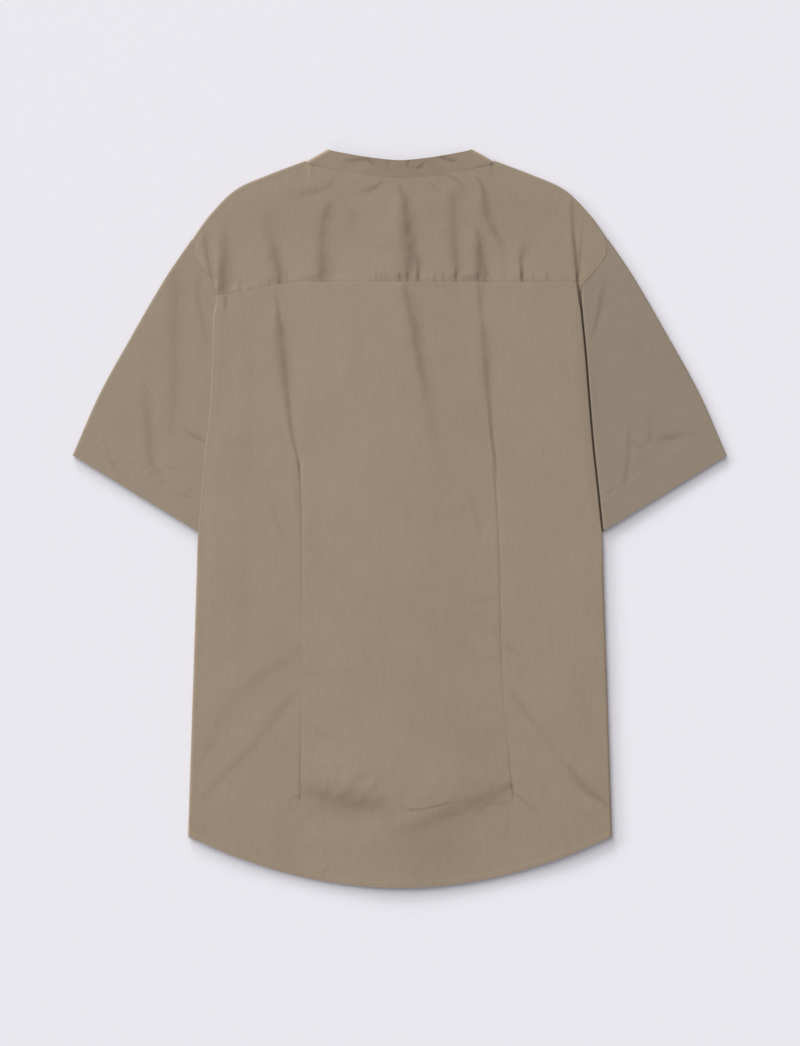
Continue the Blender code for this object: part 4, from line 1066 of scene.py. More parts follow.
def back_place(c, r):
    """c runs from side to side, with the rolled edges past -1 and 1; r from hem to yoke seam,
    with the seam allowance past 1."""
    side = np.where(c < 0, -1, 1)
    across = np.abs(c)
    above = np.maximum(0, r - 1)
    r = np.minimum(r, 1)
    edge_y = mix(SIDE_FOOT[1], YOKE_SEAM_Y, r)
    for _ in range(3):          # the edge's place along the side depends on where it starts to roll
        edge = side_x(edge_y, side)
        turn = roll_turn(edge_y, side)
        under_z = mix(FLOOR_Z, ROLLED_Z, ease(*LIE_ON_CUFF, edge_y))
        top_z = body_z(side * (edge - 0.004), edge_y)
        radius = roll_radius((top_z - under_z) / 2, turn)
        start = edge - MM / 2 - radius * np.sin(np.minimum(turn, math.pi / 2))
        edge_y = mix(hem_y(start), yoke_seam_y(side * start), r)
    flat = np.minimum(across, 1)
    dart = dart_x(edge_y, side)
    x = np.where(flat < 0.5, dart * flat / 0.5, mix(dart, start, (flat - 0.5) / 0.5))
    y = mix(hem_y(x), yoke_seam_y(side * x), r)
    z = mix(body_z(side * x, y), top_z, ease(0.93, 1.0, flat))
    z = z + hem_relief(x, y - hem_y(x), BODY_HEM)
    seam = armhole_x(edge_y, side) + np.where(edge_y < UNDERARM_Y, GAP, 0)
    roll_x, roll_z = rolled(across, start, top_z, radius, turn, seam)
    x, y, z = np.where(across > 1, (roll_x, edge_y, roll_z), (x, y, z))
    y = y + SEAM_ALLOWANCE * above
    past_seam = y - yoke_seam_y(side * x)
    sunk = ease(0.2 * MM, 1.8 * MM, past_seam)
    x = x - 2 * MM * ease(0.0, 0.3, above) * ease(0.9, 1.0, across)
    return side * x, y, z - CLOTH * sunk


seam_point = back_place(np.zeros(1), np.ones(1))
print("middle of the yoke seam:", [round(float(axis[0]), 4) for axis in seam_point])

# %% Make the back
back_columns = both_ways(
    (53, 0.47), (7, 0.50), (7, 0.53), (37, 0.94), (12, 1.0), (10, ROLL_END), (2, 2.0),
)
back_rows = spread(
    0, (6, 0.0092), (27, 0.095), (38, 0.17), (12, 0.20), (77, 0.85), (20, 0.982), (8, 1.0),
    (3, 2.0),
)
back = panel(
    "back_panel", back_columns, back_rows, back_place, cotton,
    painted_shade=lambda x, y, z: body_folds(x, y)[1],
)
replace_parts(back, "back")

# %% [markdown]
# ## The yoke
# The yoke is cut in one piece. It lies over both shoulders and rolls to the front, so it needs a
# grid whose outer columns go round the shoulder's fold, while the inner ones stop at the collar.
# Its lower edge lies over the back, and the seam there has drawn up a row of small puckers.

# %% Where each point of the yoke lies
NECK_SHARE = 0.5                # columns up to here end at the collar
NECK_ROLL_X, NECK_ROLL_Y = np.array((NECK_HALF, NECK_Y)) - shoulder_out(NECK_HALF) * ROLL_INSET
YOKE_LIFT = 0.03 * MM           # the yoke's lower edge lies this much over the back
NECK_ROUND = 1.8                # 2 would make the neckline at the back a parabola
UNDER_BAND = 1.5 * MM           # the yoke runs on under the collar band


def neck_back_y(x, end_x, end_y):
    """The collar seam across the back, from the centre to where the shoulder starts to roll."""
    return NECK_BACK_Y + (end_y - NECK_BACK_Y) * np.abs(x / end_x) ** NECK_ROUND


def yoke_place(c, r):
    """c runs from armhole to armhole; r from the yoke seam up, with the shoulder's roll past 1."""
    side = np.where(c < 0, -1, 1)
    across = np.abs(c)
    foot_end_y = tuck_top(side)
    foot_end_x = armhole_x(foot_end_y, side) - SEAM_INSET
    foot_x = across * foot_end_x
    foot_y = yoke_seam_y(side * foot_x)

    inner_x = NECK_ROLL_X * across / NECK_SHARE
    inner_y = neck_back_y(inner_x, NECK_ROLL_X, NECK_ROLL_Y) + UNDER_BAND
    t = np.clip((across - NECK_SHARE) / (1 - NECK_SHARE), 0, 1)
    line_x = mix(NECK_HALF, SHOULDER[0], t)
    out_x, out_y = shoulder_out(line_x)
    outer_x = line_x - SEAM_INSET * t - out_x * ROLL_INSET
    outer_y = shoulder_y(line_x) - out_y * ROLL_INSET
    head_x = np.where(across < NECK_SHARE, inner_x, outer_x)
    head_y = np.where(across < NECK_SHARE, inner_y, outer_y)

    flat = np.minimum(r, 1)
    x, y = mix(foot_x, head_x, flat), mix(foot_y, head_y, flat)
    end_x, end_y = CORNER_X - SEAM_INSET, CORNER_Y
    seam_x = shoulder_seam_x(mix(foot_end_y, end_y, flat), side) - SEAM_INSET
    x = x + (seam_x - mix(foot_end_x, end_x, flat)) * ease(NECK_SHARE, 1.0, across)
    z = body_z(side * x, y)
    z = mix(z, SLEEVE_Z, ease(0.80, 1.0, r) * ease(NECK_SHARE - 0.02, NECK_SHARE, across))
    from_seam = y - yoke_seam_y(side * x)
    z = z + YOKE_LIFT * (1 - ease(0.004, 0.012, from_seam))

    radius = (SLEEVE_Z - FLOOR_Z) / 2
    turn = math.pi * np.clip((r - 1) / (ROLL_END - 1), 0, 1)
    low_end_x = armhole_x(YOKE_FRONT_END_Y, side) - 2 * SEAM_INSET
    low_x = mix(YOKE_FRONT_CORNER[0], low_end_x, t)
    low_y = mix(YOKE_FRONT_CORNER[1], YOKE_FRONT_END_Y, t)
    share = np.clip((r - ROLL_END) / (2 - ROLL_END), 0, 1)
    under_x, under_y = mix(outer_x, low_x, share), mix(outer_y, low_y, share)
    under_seam = shoulder_seam_x(mix(end_y, YOKE_FRONT_END_Y, share), side) - SEAM_INSET
    under_x = under_x + (under_seam - mix(end_x, low_end_x, share)) * ease(NECK_SHARE, 1.0, across)
    sine, cosine = bend_round(turn)
    round_x, round_y = outer_x + out_x * radius * sine, outer_y + out_y * radius * sine
    rolling, lying = r > 1, r > ROLL_END
    x = np.where(lying, under_x, np.where(rolling, round_x, x))
    y = np.where(lying, under_y, np.where(rolling, round_y, y))
    z = np.where(rolling, FLOOR_Z + radius * (1 + cosine), z)
    return side * x, y, z


neck_point = yoke_place(np.zeros(1), np.ones(1))
print("middle of the collar seam:", [round(float(axis[0]), 4) for axis in neck_point])

# %% Make the yoke
yoke_columns = both_ways((112, NECK_SHARE), (112, 1.0))
yoke_rows = spread(0, (16, 0.10), (62, 0.90), (8, 1.0), (8, ROLL_END), (4, 2.0))
yoke = panel(
    "yoke_panel", yoke_columns, yoke_rows, yoke_place, cotton,
    painted_shade=lambda x, y, z: body_folds(x, y)[1] + fold_shade(x, y),
    leave_out=lambda c, r: (r >= 1) & (np.abs(c) <= NECK_SHARE),
)
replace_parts(yoke, "yoke")

# %% [markdown]
# ## The fronts and the placket
# The fronts lie face down on the table. The right front runs on under the placket as a margin, and
# the placket, a folded strip, is sewn to the left front and carries the buttonholes. Each front is
# one patch between four edges: hem, neckline and shoulder, centre and side.

# %% Where each point of a front lies
STRIP, STRIP_X = 0.25, 0.042    # columns up to here run straight up beside the placket
SHOULDER_SHARE = 0.5            # columns from here on end at the yoke
YOKE_TURN = math.acos((NECK_Y - YOKE_FRONT_CORNER[1]) / (NECK_Y - NECK_FRONT_Y))
FRONT_FOLDS = (
    # each point: x, y and half width in millimetres, then steepness
    ((-110, 240, 9, 0.05), (-100, 150, 12, 0.11), (-90, 60, 12, 0.04)),
    ((104, 230, 9, 0.05), (95, 130, 12, 0.12), (88, 40, 12, 0.04)),
    ((-160, -120, 8, 0.05), (-110, -190, 11, 0.12), (-70, -250, 10, 0.04)),
    ((150, -100, 8, 0.05), (110, -175, 11, 0.12), (75, -240, 10, 0.04)),
    ((-150, 20, 8, 0.05), (-60, -10, 9, 0.10)),
)


def neck_front(turn):
    """The front neckline, an ellipse round the neck: turn is 0 at the centre front."""
    return NECK_HALF * np.sin(turn), NECK_Y - (NECK_Y - NECK_FRONT_Y) * np.cos(turn)


def front_top(c, side, inner_x):
    """Upper edge of a front: the neckline first, then the yoke seam."""
    in_strip = c < STRIP
    strip_turn = np.arcsin(mix(inner_x, STRIP_X, c / STRIP) / NECK_HALF * in_strip)
    t = np.clip((c - STRIP) / (SHOULDER_SHARE - STRIP), 0, 1)
    neck_turn = mix(math.asin(STRIP_X / NECK_HALF), YOKE_TURN, t)
    x, y = neck_front(np.where(in_strip, strip_turn, neck_turn))
    t = np.clip((c - SHOULDER_SHARE) / (1 - SHOULDER_SHARE), 0, 1)
    end_x = armhole_x(YOKE_FRONT_END_Y, side) - SEAM_INSET
    return mix(x, end_x, t), mix(y, YOKE_FRONT_END_Y, t) - SEAM_INSET


def front_place(c, r, side, inner_x):
    """c runs from the centre front to the side; r from the hem up."""
    foot_y = SIDE_FOOT[1] + PLACKET_RISE
    foot_x = armhole_x(foot_y, side) - SEAM_INSET
    off_strip = (c - STRIP) / (1 - STRIP)
    strip_x = mix(inner_x, STRIP_X, c / STRIP)
    x0 = np.where(c <= STRIP, strip_x, mix(STRIP_X, foot_x, off_strip))
    y0 = hem_y(x0) + PLACKET_RISE
    x1, y1 = front_top(c, side, inner_x)
    top_y = float(front_top(np.array([1.0]), side, inner_x)[1][0])
    side_y = mix(foot_y, top_y, r)
    side_line = armhole_x(side_y, side) - SEAM_INSET
    corner_x = mix(foot_x, float(armhole_x(YOKE_FRONT_END_Y, side)) - SEAM_INSET, r)
    x = mix(x0, x1, r) + (side_line - corner_x) * np.clip(off_strip, 0, 1)
    x = np.where(c <= STRIP, x0, x)
    y = mix(y0, y1, r)
    edge_lift = ease(*LIE_ON_CUFF, y) * (1 - ease(*LEAVE_FRONT, y))
    z = mix(FLOOR_Z, ROLLED_Z, edge_lift * ease(0.93, 1.0, c))
    z = z + fold_relief(FRONT_FOLDS, side * x, y, crest=1.0)[0]
    centre_z = PLACKET_Z if side < 0 else MARGIN_Z
    return side * x, y, mix(centre_z, z, ease(PLACKET_HALF + 0.002, STRIP_X, x))


print("the neckline turns", round(math.degrees(YOKE_TURN)), "degrees from the centre to the yoke")

# %% Make the fronts
front_rows = spread(0, (6, 0.009), (120, 1.0))
FRONTS = (("left", -1, PLACKET_HALF + GAP), ("right", 1, -PLACKET_HALF))
front_panels = {}
for name, side, inner_x in FRONTS:
    front_panels[name] = panel(
        f"front_panel_{name}", spread(0, (22, STRIP), (26, SHOULDER_SHARE), (44, 1.0)), front_rows,
        lambda c, r: front_place(c, r, side, inner_x), cotton,
    )
    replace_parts(front_panels[name], f"front_{name}")

# %% Make the placket
PLACKET_WALL = 0.9 * MM
PLACKET_LIFT, PLACKET_PUFF = 0.15 * MM, 0.08 * MM   # of its long edges, and anywhere


def placket_place(c, r):
    """c runs from edge to edge; r from the hem up to the neckline."""
    y = mix(hem_y(0.0) + PLACKET_RISE, NECK_FRONT_Y - SEAM_INSET, r)
    edge = PLACKET_LIFT * ease(0.86, 1.0, np.abs(c))
    return c * PLACKET_HALF, y, PLACKET_Z + edge + PLACKET_PUFF * ripple(c, y, 0.02, 8.5)


placket = panel(
    "placket_strip", spread(-1, (16, 1)), spread(0, (150, 1)), placket_place, cotton,
    wall=PLACKET_WALL,
)
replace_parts(placket, "front_placket")

# %% [markdown]
# ## The collar band
# A mandarin collar is only a band: two layers of cloth with a stiffener between, sewn to the
# neckline and closed by a button at the front. It goes once round the neck, so its grid does too.
# At the back it stands up and leans out, at the sides it folds, and its front lies on the table.

# %% Sizes and dents of the band
BAND_BACK, BAND_FOLD = 0.36, 0.48       # columns of its back, and of its side folds
BAND_OUT = np.array((0.449, 0.894))     # straight out of its folded sides, in plan
BAND_ALONG = np.array((-0.894, 0.449))  # along its folded sides, up to its upper edge
BAND_SKEW = 3 * MM              # its upper edge runs this much higher beside the fold
BAND_FOOT_HALF = NECK_HALF - 0.0012
BAND_LAP = 0.6 * MM             # at the back, its foot covers the seam by this much
BAND_ROLL, BAND_SEAM = 2.9 * MM, 0.5 * MM
BAND_LAP_Z = 2.7 * MM           # the outer end of the band, on its button
BAND_FOOT_Z = (-0.40 * MM, -0.10 * MM)  # its foot against the yoke: in the middle, at the sides
BAND_FOLD_Z = MIDDLE_Z - 0.8 * MM       # where it folds at the sides
BAND_PUFF = 0.06 * MM
BAND_SHADE = 0.05               # it leans back, so it gets a little less light than the yoke
BAND_FOLDS = (
    # small dents where it was bent: x, y and half width in millimetres, then steepness
    ((-61, 386, 3, 0.06), (-48, 387.5, 3.5, 0.16), (-39, 387.5, 3, 0.12)),
    ((-37, 389.5, 2, 0.17), (-34, 387, 2.4, 0.31), (-31, 384, 2, 0.19)),
    ((-13.5, 386, 2.5, 0.1), (-13.5, 380, 2.5, 0.08)),
    ((9.5, 387, 1.4, 0.19), (8.5, 384, 1.5, 0.23), (7, 381, 1.2, 0.15)),
    ((25, 383, 1.6, 0.15), (22, 380.5, 1.8, 0.21), (19, 378.5, 1.4, 0.15)),
    ((8, 379, 1.0, 0.12), (22, 379, 1.0, 0.12)),
    ((41, 392, 1.6, 0.19), (45, 390, 2.4, 0.31), (52, 387.5, 2.2, 0.21), (60, 386, 1.6, 0.12)),
)
print(len(BAND_FOLDS), "dents in the band")

# %% Plan of the band


def band_back(t, r):
    """t is 0 at the centre back and 1 where the band starts to fold."""
    inset = BAND_OUT * (BAND_ROLL + BAND_WALL / 2)
    low_x, low_y = np.array((BAND_FOOT_HALF, NECK_Y)) - inset
    high_x, high_y = np.array((BAND_TOP_HALF, HALF_LENGTH)) - inset + BAND_ALONG * BAND_SKEW
    low = t * low_x, neck_back_y(t * low_x, low_x, low_y) - BAND_LAP
    high = t * high_x, mix(BAND_TOP_BACK_Y, high_y, t**1.5)
    return mix(low[0], high[0], r), mix(low[1], high[1], r)


def band_front(turn, r):
    """turn is 0 at the centre front and a quarter circle where the band starts to fold."""
    fold = ease(math.radians(60), math.radians(85), turn)
    low_end, high_end = band_back(1.0, 0.0), band_back(1.0, 1.0)
    reach, drop = NECK_HALF - BAND_SEAM, NECK_Y - NECK_FRONT_Y - BAND_SEAM
    low_x = reach * np.sin(turn) + (low_end[0] - reach) * fold
    low_y = NECK_Y - drop * np.cos(turn) + (low_end[1] - NECK_Y) * fold
    high_x = high_end[0] * np.sin(turn)
    high_y = high_end[1] - (high_end[1] - BAND_TOP_FRONT_Y) * np.cos(turn)
    return mix(low_x, high_x, r), mix(low_y, high_y, r)


front_height = float(band_front(0.0, 1.0)[1] - band_front(0.0, 0.0)[1])
print("the band is", round(front_height / MM, 1), "mm high in front")

# %% Make the band


def band_place(c, r):
    """c goes round the neck, from one end at the centre front over the back to the other."""
    side = np.where(c < 0, -1, 1)
    across = np.abs(c)
    t = np.clip(across / BAND_BACK, 0, 1)
    back_x, back_y = band_back(t, r)
    fold_z = BAND_FOLD_Z + 0.35 * BAND_RISE * r
    foot_x, foot_y = band_back(t, 0 * r)
    foot_z = body_z(side * foot_x, foot_y) + mix(*BAND_FOOT_Z, ease(0.05, 0.09, foot_x))
    back_z = foot_z + BAND_RISE * r * mix(1, 0.5, ease(0.3, 1.0, t))
    back_z = mix(back_z, fold_z, ease(0.8, 1.0, t))
    back_z = back_z + fold_relief(BAND_FOLDS, side * back_x, back_y)[0]
    back_z = back_z + BAND_PUFF * ripple(side * back_x, back_y, 0.012, 2.5)

    floor_z = BAND_WALL / 2 + 0.1 * MM
    turning = math.pi * np.clip((across - BAND_BACK) / (BAND_FOLD - BAND_BACK), 0, 1)
    side_x0, side_y0 = band_back(1.0, r)
    sine = np.sin(turning)
    back_again = BAND_SKEW * r * sine
    fold_x = side_x0 + BAND_OUT[0] * BAND_ROLL * sine - BAND_ALONG[0] * back_again
    fold_y = side_y0 + BAND_OUT[1] * BAND_ROLL * sine - BAND_ALONG[1] * back_again
    side_z = mix(floor_z, fold_z, (1 + np.cos(turning)) / 2)

    turn = mix(math.pi / 2, -LAP_TURN, np.clip((across - BAND_FOLD) / (1 - BAND_FOLD), 0, 1))
    front_x, front_y = band_front(turn, r)
    lap_z = BAND_LAP_Z + np.where(side > 0, BAND_WALL + GAP, 0)
    front_z = mix(lap_z, floor_z, ease(2.2 * LAP_TURN, 4.5 * LAP_TURN, turn))
    at_front = np.where(
        across <= BAND_FOLD, (fold_x, fold_y, side_z), (front_x, front_y, front_z),
    )
    x, y, z = np.where(across <= BAND_BACK, (back_x, back_y, back_z), at_front)
    return side * x, y, z


band_columns = both_ways((100, BAND_BACK), (16, BAND_FOLD), (50, 1.0))
band_rows = spread(0, (1, 0.03), (18, 0.97), (1, 1))
band = panel(
    "mandarin_band", band_columns, band_rows, band_place, cotton, wall=BAND_WALL,
    painted_shade=lambda x, y, z: BAND_SHADE + fold_relief(BAND_FOLDS, x, y)[1],
)
soft_edge = band.modifiers.new("soft edge", "BEVEL")
soft_edge.width = 0.2 * MM
soft_edge.segments = 2
soft_edge.limit_method = "ANGLE"
soft_edge.angle_limit = math.radians(60)
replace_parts(band, "collar_band")

# %% [markdown]
# ## The sleeves
# A sleeve is a tube that lies flat: its grid goes once round, over the top, round the outer fold,
# back along the table and up the small inner fold, and its first and last columns are merged.
# It goes under the body at the armhole. The opening has a deep hem, turned up 26 mm.

# %% Folds of the sleeves
SLEEVE_FOLDS = {
    # each point: x, y and half width in millimetres, then steepness
    -1: (
        (
            (-245, 272, 6, 0.04), (-243, 240, 10, 0.09), (-245, 210, 11, 0.08),
            (-244, 170, 9, 0.07), (-244, 130, 7, 0.06), (-248, 95, 7, 0.03),
        ),
        ((-218, 264, 3, 0.06), (-219, 240, 4, 0.10), (-214, 218, 4, 0.09), (-208, 188, 3, 0.05)),
        (
            (-279, 155, 6, 0.02), (-276, 128, 7, 0.06), (-272, 102, 6.5, 0.09), (-271, 76, 6, 0.12),
            (-269, 59, 5, 0.13), (-261, 48, 4, 0.12), (-254, 44, 2.5, 0.04),
        ),
        ((-256, 56, 3, 0.05), (-235, 55, 3, 0.04)),
        ((-236, 101, 2.5, 0.06), (-225, 90, 4, 0.16), (-212, 84, 2.5, 0.14)),
        ((-262, 162, 7, 0), (-262, 130, 8, -0.04), (-262, 100, 7, -0.02)),
        ((-320, 81, 1, 0.06), (-315, 68, 1.5, 0.10), (-309, 55, 2, 0.10), (-301, 45, 2, 0.04)),
        ((-243, 27, 1.2, 0.08), (-221, 21.5, 1.2, 0.10)),
    ),
    1: (
        ((220.5, 259, 2, 0.06), (217, 236, 3, 0.18), (213, 216, 3, 0.16), (208.5, 199, 3, 0.06)),
        ((203, 162, 4, 0.04), (211, 135, 4, 0.08)),
        (
            (278, 86, 3.6, 0.042), (290, 87.5, 4.8, 0.14), (300, 90, 4.2, 0.112),
            (311, 91, 2.4, 0.028),
        ),
        (
            (247.5, 102, 2, 0.04), (247, 84, 2.5, 0.12), (246, 64, 2.5, 0.14),
            (243.5, 45, 2.5, 0.12), (241, 31, 2, 0.05),
        ),
        ((252, 82, 4.5, 0.10), (258, 77, 4, 0.10)),
        ((269, 112, 3, 0.05), (270, 85, 3, 0.10)),
        ((225, 28, 1.5, 0.12), (236, 33.5, 1.5, 0.08)),
        ((246, 246, 1.8, 0.06), (255, 224, 1.8, 0.06)),
    ),
}
print([len(folds) for folds in SLEEVE_FOLDS.values()], "folds in the sleeves")

# %% Height of a sleeve
# The sleeve comes up beside the body's edge, from its low part under it to its full height: off the
# edge it starts and ends a quick rise, of this share of the height, and at the last place it is up.
# On the left it touches the body. On the right its fold stands up beside it, with a gap between.
SLEEVE_RISE = {
    -1: (-3.0 * MM, -0.8 * MM, 0.93, 20 * MM),
    1: (1.8 * MM, 2.4 * MM, 1.03, 15 * MM),
}
SLEEVE_FULLNESS = 0.9           # how much of the table's steepness the sleeves have
SLEEVE_TILT = {-1: 0.0, 1: 0.010}       # the right sleeve slopes down a little, outwards
TILT_FROM, TILT_TO = 0.20, 0.34
EDGE_END, JOIN = 0.016, (0.030, 0.008)  # how far below the yoke seam the edge ends, and they join
GAP_SHADE = 0.9                 # hardly any light gets into the gap


def edge_by_sleeve(y, side):
    """The body's edge where it lies by the sleeve."""
    return side_x(np.minimum(y, float(tuck_top(side)) - EDGE_END), side)


def joined(y, side):
    """1 near the end of the yoke seam, where sleeve and body lie at one height, and 0 below."""
    top = float(tuck_top(side))
    return ease(top - JOIN[0], top - JOIN[1], y)


def sleeve_z(x, y, side):
    """Middle of the wall of a sleeve's upper layer, x mirrored to be positive."""
    off_body = x - edge_by_sleeve(y, side)
    low, high, share, end = SLEEVE_RISE[side]
    clear = share * ease(low, high, off_body) + (1 - share) * ease(high, end, off_body)
    z = SLEEVE_Z + SLEEVE_FULLNESS * fold_relief(SLEEVE_FOLDS[side], side * x, y)[0]
    z = z + SLEEVE_TILT[side] * (TILT_FROM - np.clip(x, TILT_FROM, TILT_TO))
    z = z + PUFF * ripple(side * x, y, 0.030, 6.5)
    return mix(TUCKED_Z, z, np.maximum(clear, joined(y, side)))


def gap_shade(x, y, z):
    """Painted shade in the gap between the body's right edge and the sleeve's fold."""
    low, high = SLEEVE_RISE[1][:2]
    in_gap = (x > 0) * (z > FLOOR_Z + MM / 2) * (1 - ease(low, high, x - edge_by_sleeve(y, 1)))
    return GAP_SHADE * in_gap * (1 - joined(y, 1))


def sleeve_painted_shade(x, y, z, side):
    """Painted shade of a sleeve: in its folds, in the gap beside the body and on the folded edge.
    """
    folds = SLEEVE_FULLNESS * fold_relief(SLEEVE_FOLDS[side], x, y)[1]
    return folds + gap_shade(x, y, z) + fold_shade(x, y)


print("the right sleeve stands", round(float(sleeve_z(0.25, 0.15, 1)) / MM, 2), "mm up")

# %% Plan of a sleeve
INNER_ROLL = (TUCKED_Z - FLOOR_Z) / 2   # radius of the small fold beside the side seam


def sleeve_plan(flat, r, side):
    """Plan of a sleeve's layers. flat is 0 at the outer edge and 1 at the inner one; r runs from
    the armhole to the opening."""
    line_x = mix(SHOULDER[0], SLEEVE_TIP[0], r)
    out_x, out_y = shoulder_out(line_x)
    outer_x = line_x - out_x * ROLL_INSET + SEAM_INSET * (1 - r)
    outer_y = shoulder_y(line_x) - out_y * ROLL_INSET
    first_x, first_y = CORNER_X + SEAM_INSET, CORNER_Y
    last_x, last_y = np.array(SLEEVE_TIP) - shoulder_out(SLEEVE_TIP[0]) * ROLL_INSET

    aside = GAP + INNER_ROLL + CLOTH / 2 + 0.2 * MM
    inner_y = mix(UNDERARM_Y, CUFF_Y, r)
    inner_x = armhole_x(inner_y, side) + aside
    low_x = float(armhole_x(UNDERARM_Y, side)) + aside
    cuff_x = float(armhole_x(CUFF_Y, side)) + aside
    arm_y = mix(first_y, UNDERARM_Y, flat)
    arm_x = shoulder_seam_x(arm_y, side) + SEAM_INSET + (aside - SEAM_INSET) * ease(0.8, 1.0, flat)
    open_x, open_y = mix(last_x, cuff_x, flat), mix(last_y, CUFF_Y, flat)

    def between(arm, opening, outer, inner, first, last, low, cuff):
        """A patch between four edges, less the corners that they count twice."""
        corners = (first * (1 - flat) + low * flat) * (1 - r)
        corners = corners + (last * (1 - flat) + cuff * flat) * r
        return arm * (1 - r) + opening * r + outer * (1 - flat) + inner * flat - corners

    x = between(arm_x, open_x, outer_x, inner_x, first_x, last_x, low_x, cuff_x)
    y = between(arm_y, open_y, outer_y, inner_y, first_y, last_y, UNDERARM_Y, CUFF_Y)
    return x, y, out_x, out_y


middle = sleeve_plan(np.array([0.5]), np.array([0.5]), 1)
print("middle of the right sleeve:", [round(float(middle[i][0]), 3) for i in (0, 1)])

# %% Make the sleeves
SLEEVE_LENGTHS = (0.268, 0.0955)        # along its outer fold, and along its inner one
HEM_ROWS = 0.85                 # rows past this share are the hem
HEM_FULLNESS = 0.8              # how high its hem is, against the back's
FOLD_OUT = 2.1 * MM             # the right sleeve's fold stands up this far off the body's edge
CROWDED, CROWDING = 6 * MM, 0.25        # this far around it, columns crowd to this share
UNDERLAP, UNDERLAP_SHARE = 3 * MM, 0.012        # how far the sleeve goes in under yoke and body
UNDER_BODY = (UNDERLAP_SHARE * 0.28, UNDERLAP_SHARE * 0.50)     # rows that come out from there
SINK = (0.05 * MM, CLOTH + 0.1 * MM)    # near its seam it sinks this much: beside them, and under


def sleeve_place(c, s, side):
    """c goes round the tube: -1 to 0 is the upper layer from inner to outer edge, then the outer
    fold to 1, the lower layer to 2, and the small inner fold to 3. s runs down to the opening,
    with the hem past HEM_ROWS."""
    flat = np.where(c <= 0, -c, np.clip(c - 1, 0, 1))
    hem = SLEEVE_HEM / mix(*SLEEVE_LENGTHS, flat)
    in_hem = (s - HEM_ROWS) / (1 - HEM_ROWS)
    r = np.where(s <= HEM_ROWS, s / HEM_ROWS * (1 - hem), 1 - hem + in_hem * hem)
    x, y, out_x, out_y = sleeve_plan(flat, r, side)
    if side > 0:                # columns crowd where the fold stands up beside the body
        fold_x = edge_by_sleeve(y, side) + FOLD_OUT
        off = np.abs(x - fold_x)
        closer = fold_x + (x - fold_x) * mix(CROWDING, 1, ease(0, CROWDED, off))
        x = np.where(off < CROWDED, closer, x)
    top_z = sleeve_z(x, y, side)
    from_edge = SLEEVE_HEM * (1 - s) / (1 - HEM_ROWS)
    top_z = top_z + HEM_FULLNESS * hem_relief(x, from_edge, SLEEVE_HEM)
    sink = mix(*SINK, 1 - ease(*UNDER_BODY, r))
    top_z = top_z - sink * (1 - ease(0.0, 0.06, r - UNDERLAP_SHARE))
    upper = 1 - np.clip(c, 0, 1)
    x = x - UNDERLAP * upper * (1 - ease(0, UNDERLAP_SHARE, r))
    turn = math.pi * np.where(c <= 1, np.clip(c, 0, 1), np.clip(3 - c, 0, 1))
    radius = (top_z - FLOOR_Z) / 2
    sine, cosine = bend_round(turn)
    outer_fold, lower_layer, inner_fold = (c > 0) & (c <= 1), (c > 1) & (c <= 2), c > 2
    x = x + np.where(outer_fold, out_x, np.where(inner_fold, -1, 0)) * radius * sine
    y = y + np.where(outer_fold, out_y, 0) * radius * sine
    z = np.where(lower_layer, FLOOR_Z, FLOOR_Z + radius * (1 + cosine))
    return side * x, y, np.where(c <= 0, top_z, z)


sleeves = {}
for name, side in SIDES:
    sleeves[name] = panel(
        f"sleeve_tube_{name}",
        spread(-1, (110, 0), (9, 1), (40, 2), (6, 3)),
        spread(0, (8, 0.012), (3, 0.02), (100, HEM_ROWS - 0.012), (6, HEM_ROWS + 0.012), (16, 1)),
        lambda c, s: sleeve_place(c, s, side), shaded_sleeve_cotton[side], ring=True,
        painted_shade=lambda x, y, z: sleeve_painted_shade(x, y, z, side),
    )
    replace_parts(sleeves[name], f"sleeve_{name}")

# %% [markdown]
# ## Stitches
# Seams and hems are held by rows of lockstitches. A stitch shows as a short bead of thread that
# sinks a little into the cloth. Each one is a small sphere, drawn out and laid along its row, and a
# row follows the same `place` function as its panel, so that it goes over every fold with the
# cloth. The thread matches the cloth, so the rows are quiet, as on a well-made shirt.

# %% A row of stitches
STITCH_STEP = 2.6 * MM
STITCH_HALF = (1.0 * MM, 0.19 * MM, 0.13 * MM)     # half its length, width and height
BEAD_FACES = 20
STEP = 0.002                    # a small step in the grid, to see which way the cloth faces


def bead(bm, spot, along, outward, half_size):
    """One bead of thread."""
    along, outward = Vector(along).normalized(), Vector(outward).normalized()
    turn = Matrix((along, outward.cross(along), outward)).transposed().to_4x4()
    place = Matrix.Translation(spot) @ turn @ Matrix.Diagonal((*half_size, 1.0))
    bmesh.ops.create_icosphere(bm, subdivisions=1, radius=1.0, matrix=place)


def stitch_row(bm, place, c, r, facing, wall=CLOTH):
    """Stitches along a line of grid places. facing is 1 where the first stitch faces up."""
    c, r = np.broadcast_arrays(c, r)
    run = np.linalg.norm(np.diff(np.stack(place(c, r)), axis=1), axis=0).cumsum()
    run = np.concatenate(([0.0], run))
    at = np.arange(STITCH_STEP / 2, run[-1], STITCH_STEP)
    c, r = np.interp(at, run, c), np.interp(at, run, r)
    spots = np.stack(place(c, r), axis=1)
    across = np.stack(place(c + STEP, r), axis=1) - np.stack(place(c - STEP, r), axis=1)
    upward = np.stack(place(c, r + STEP), axis=1) - np.stack(place(c, r - STEP), axis=1)
    outward = np.cross(across, upward)
    outward *= facing * np.sign(outward[0, 2]) / np.linalg.norm(outward, axis=1)[:, None]
    along = np.gradient(spots, axis=0)
    for spot, way, out in zip(spots, along, outward):
        bead(bm, spot + out * wall / 2, way, out, STITCH_HALF)


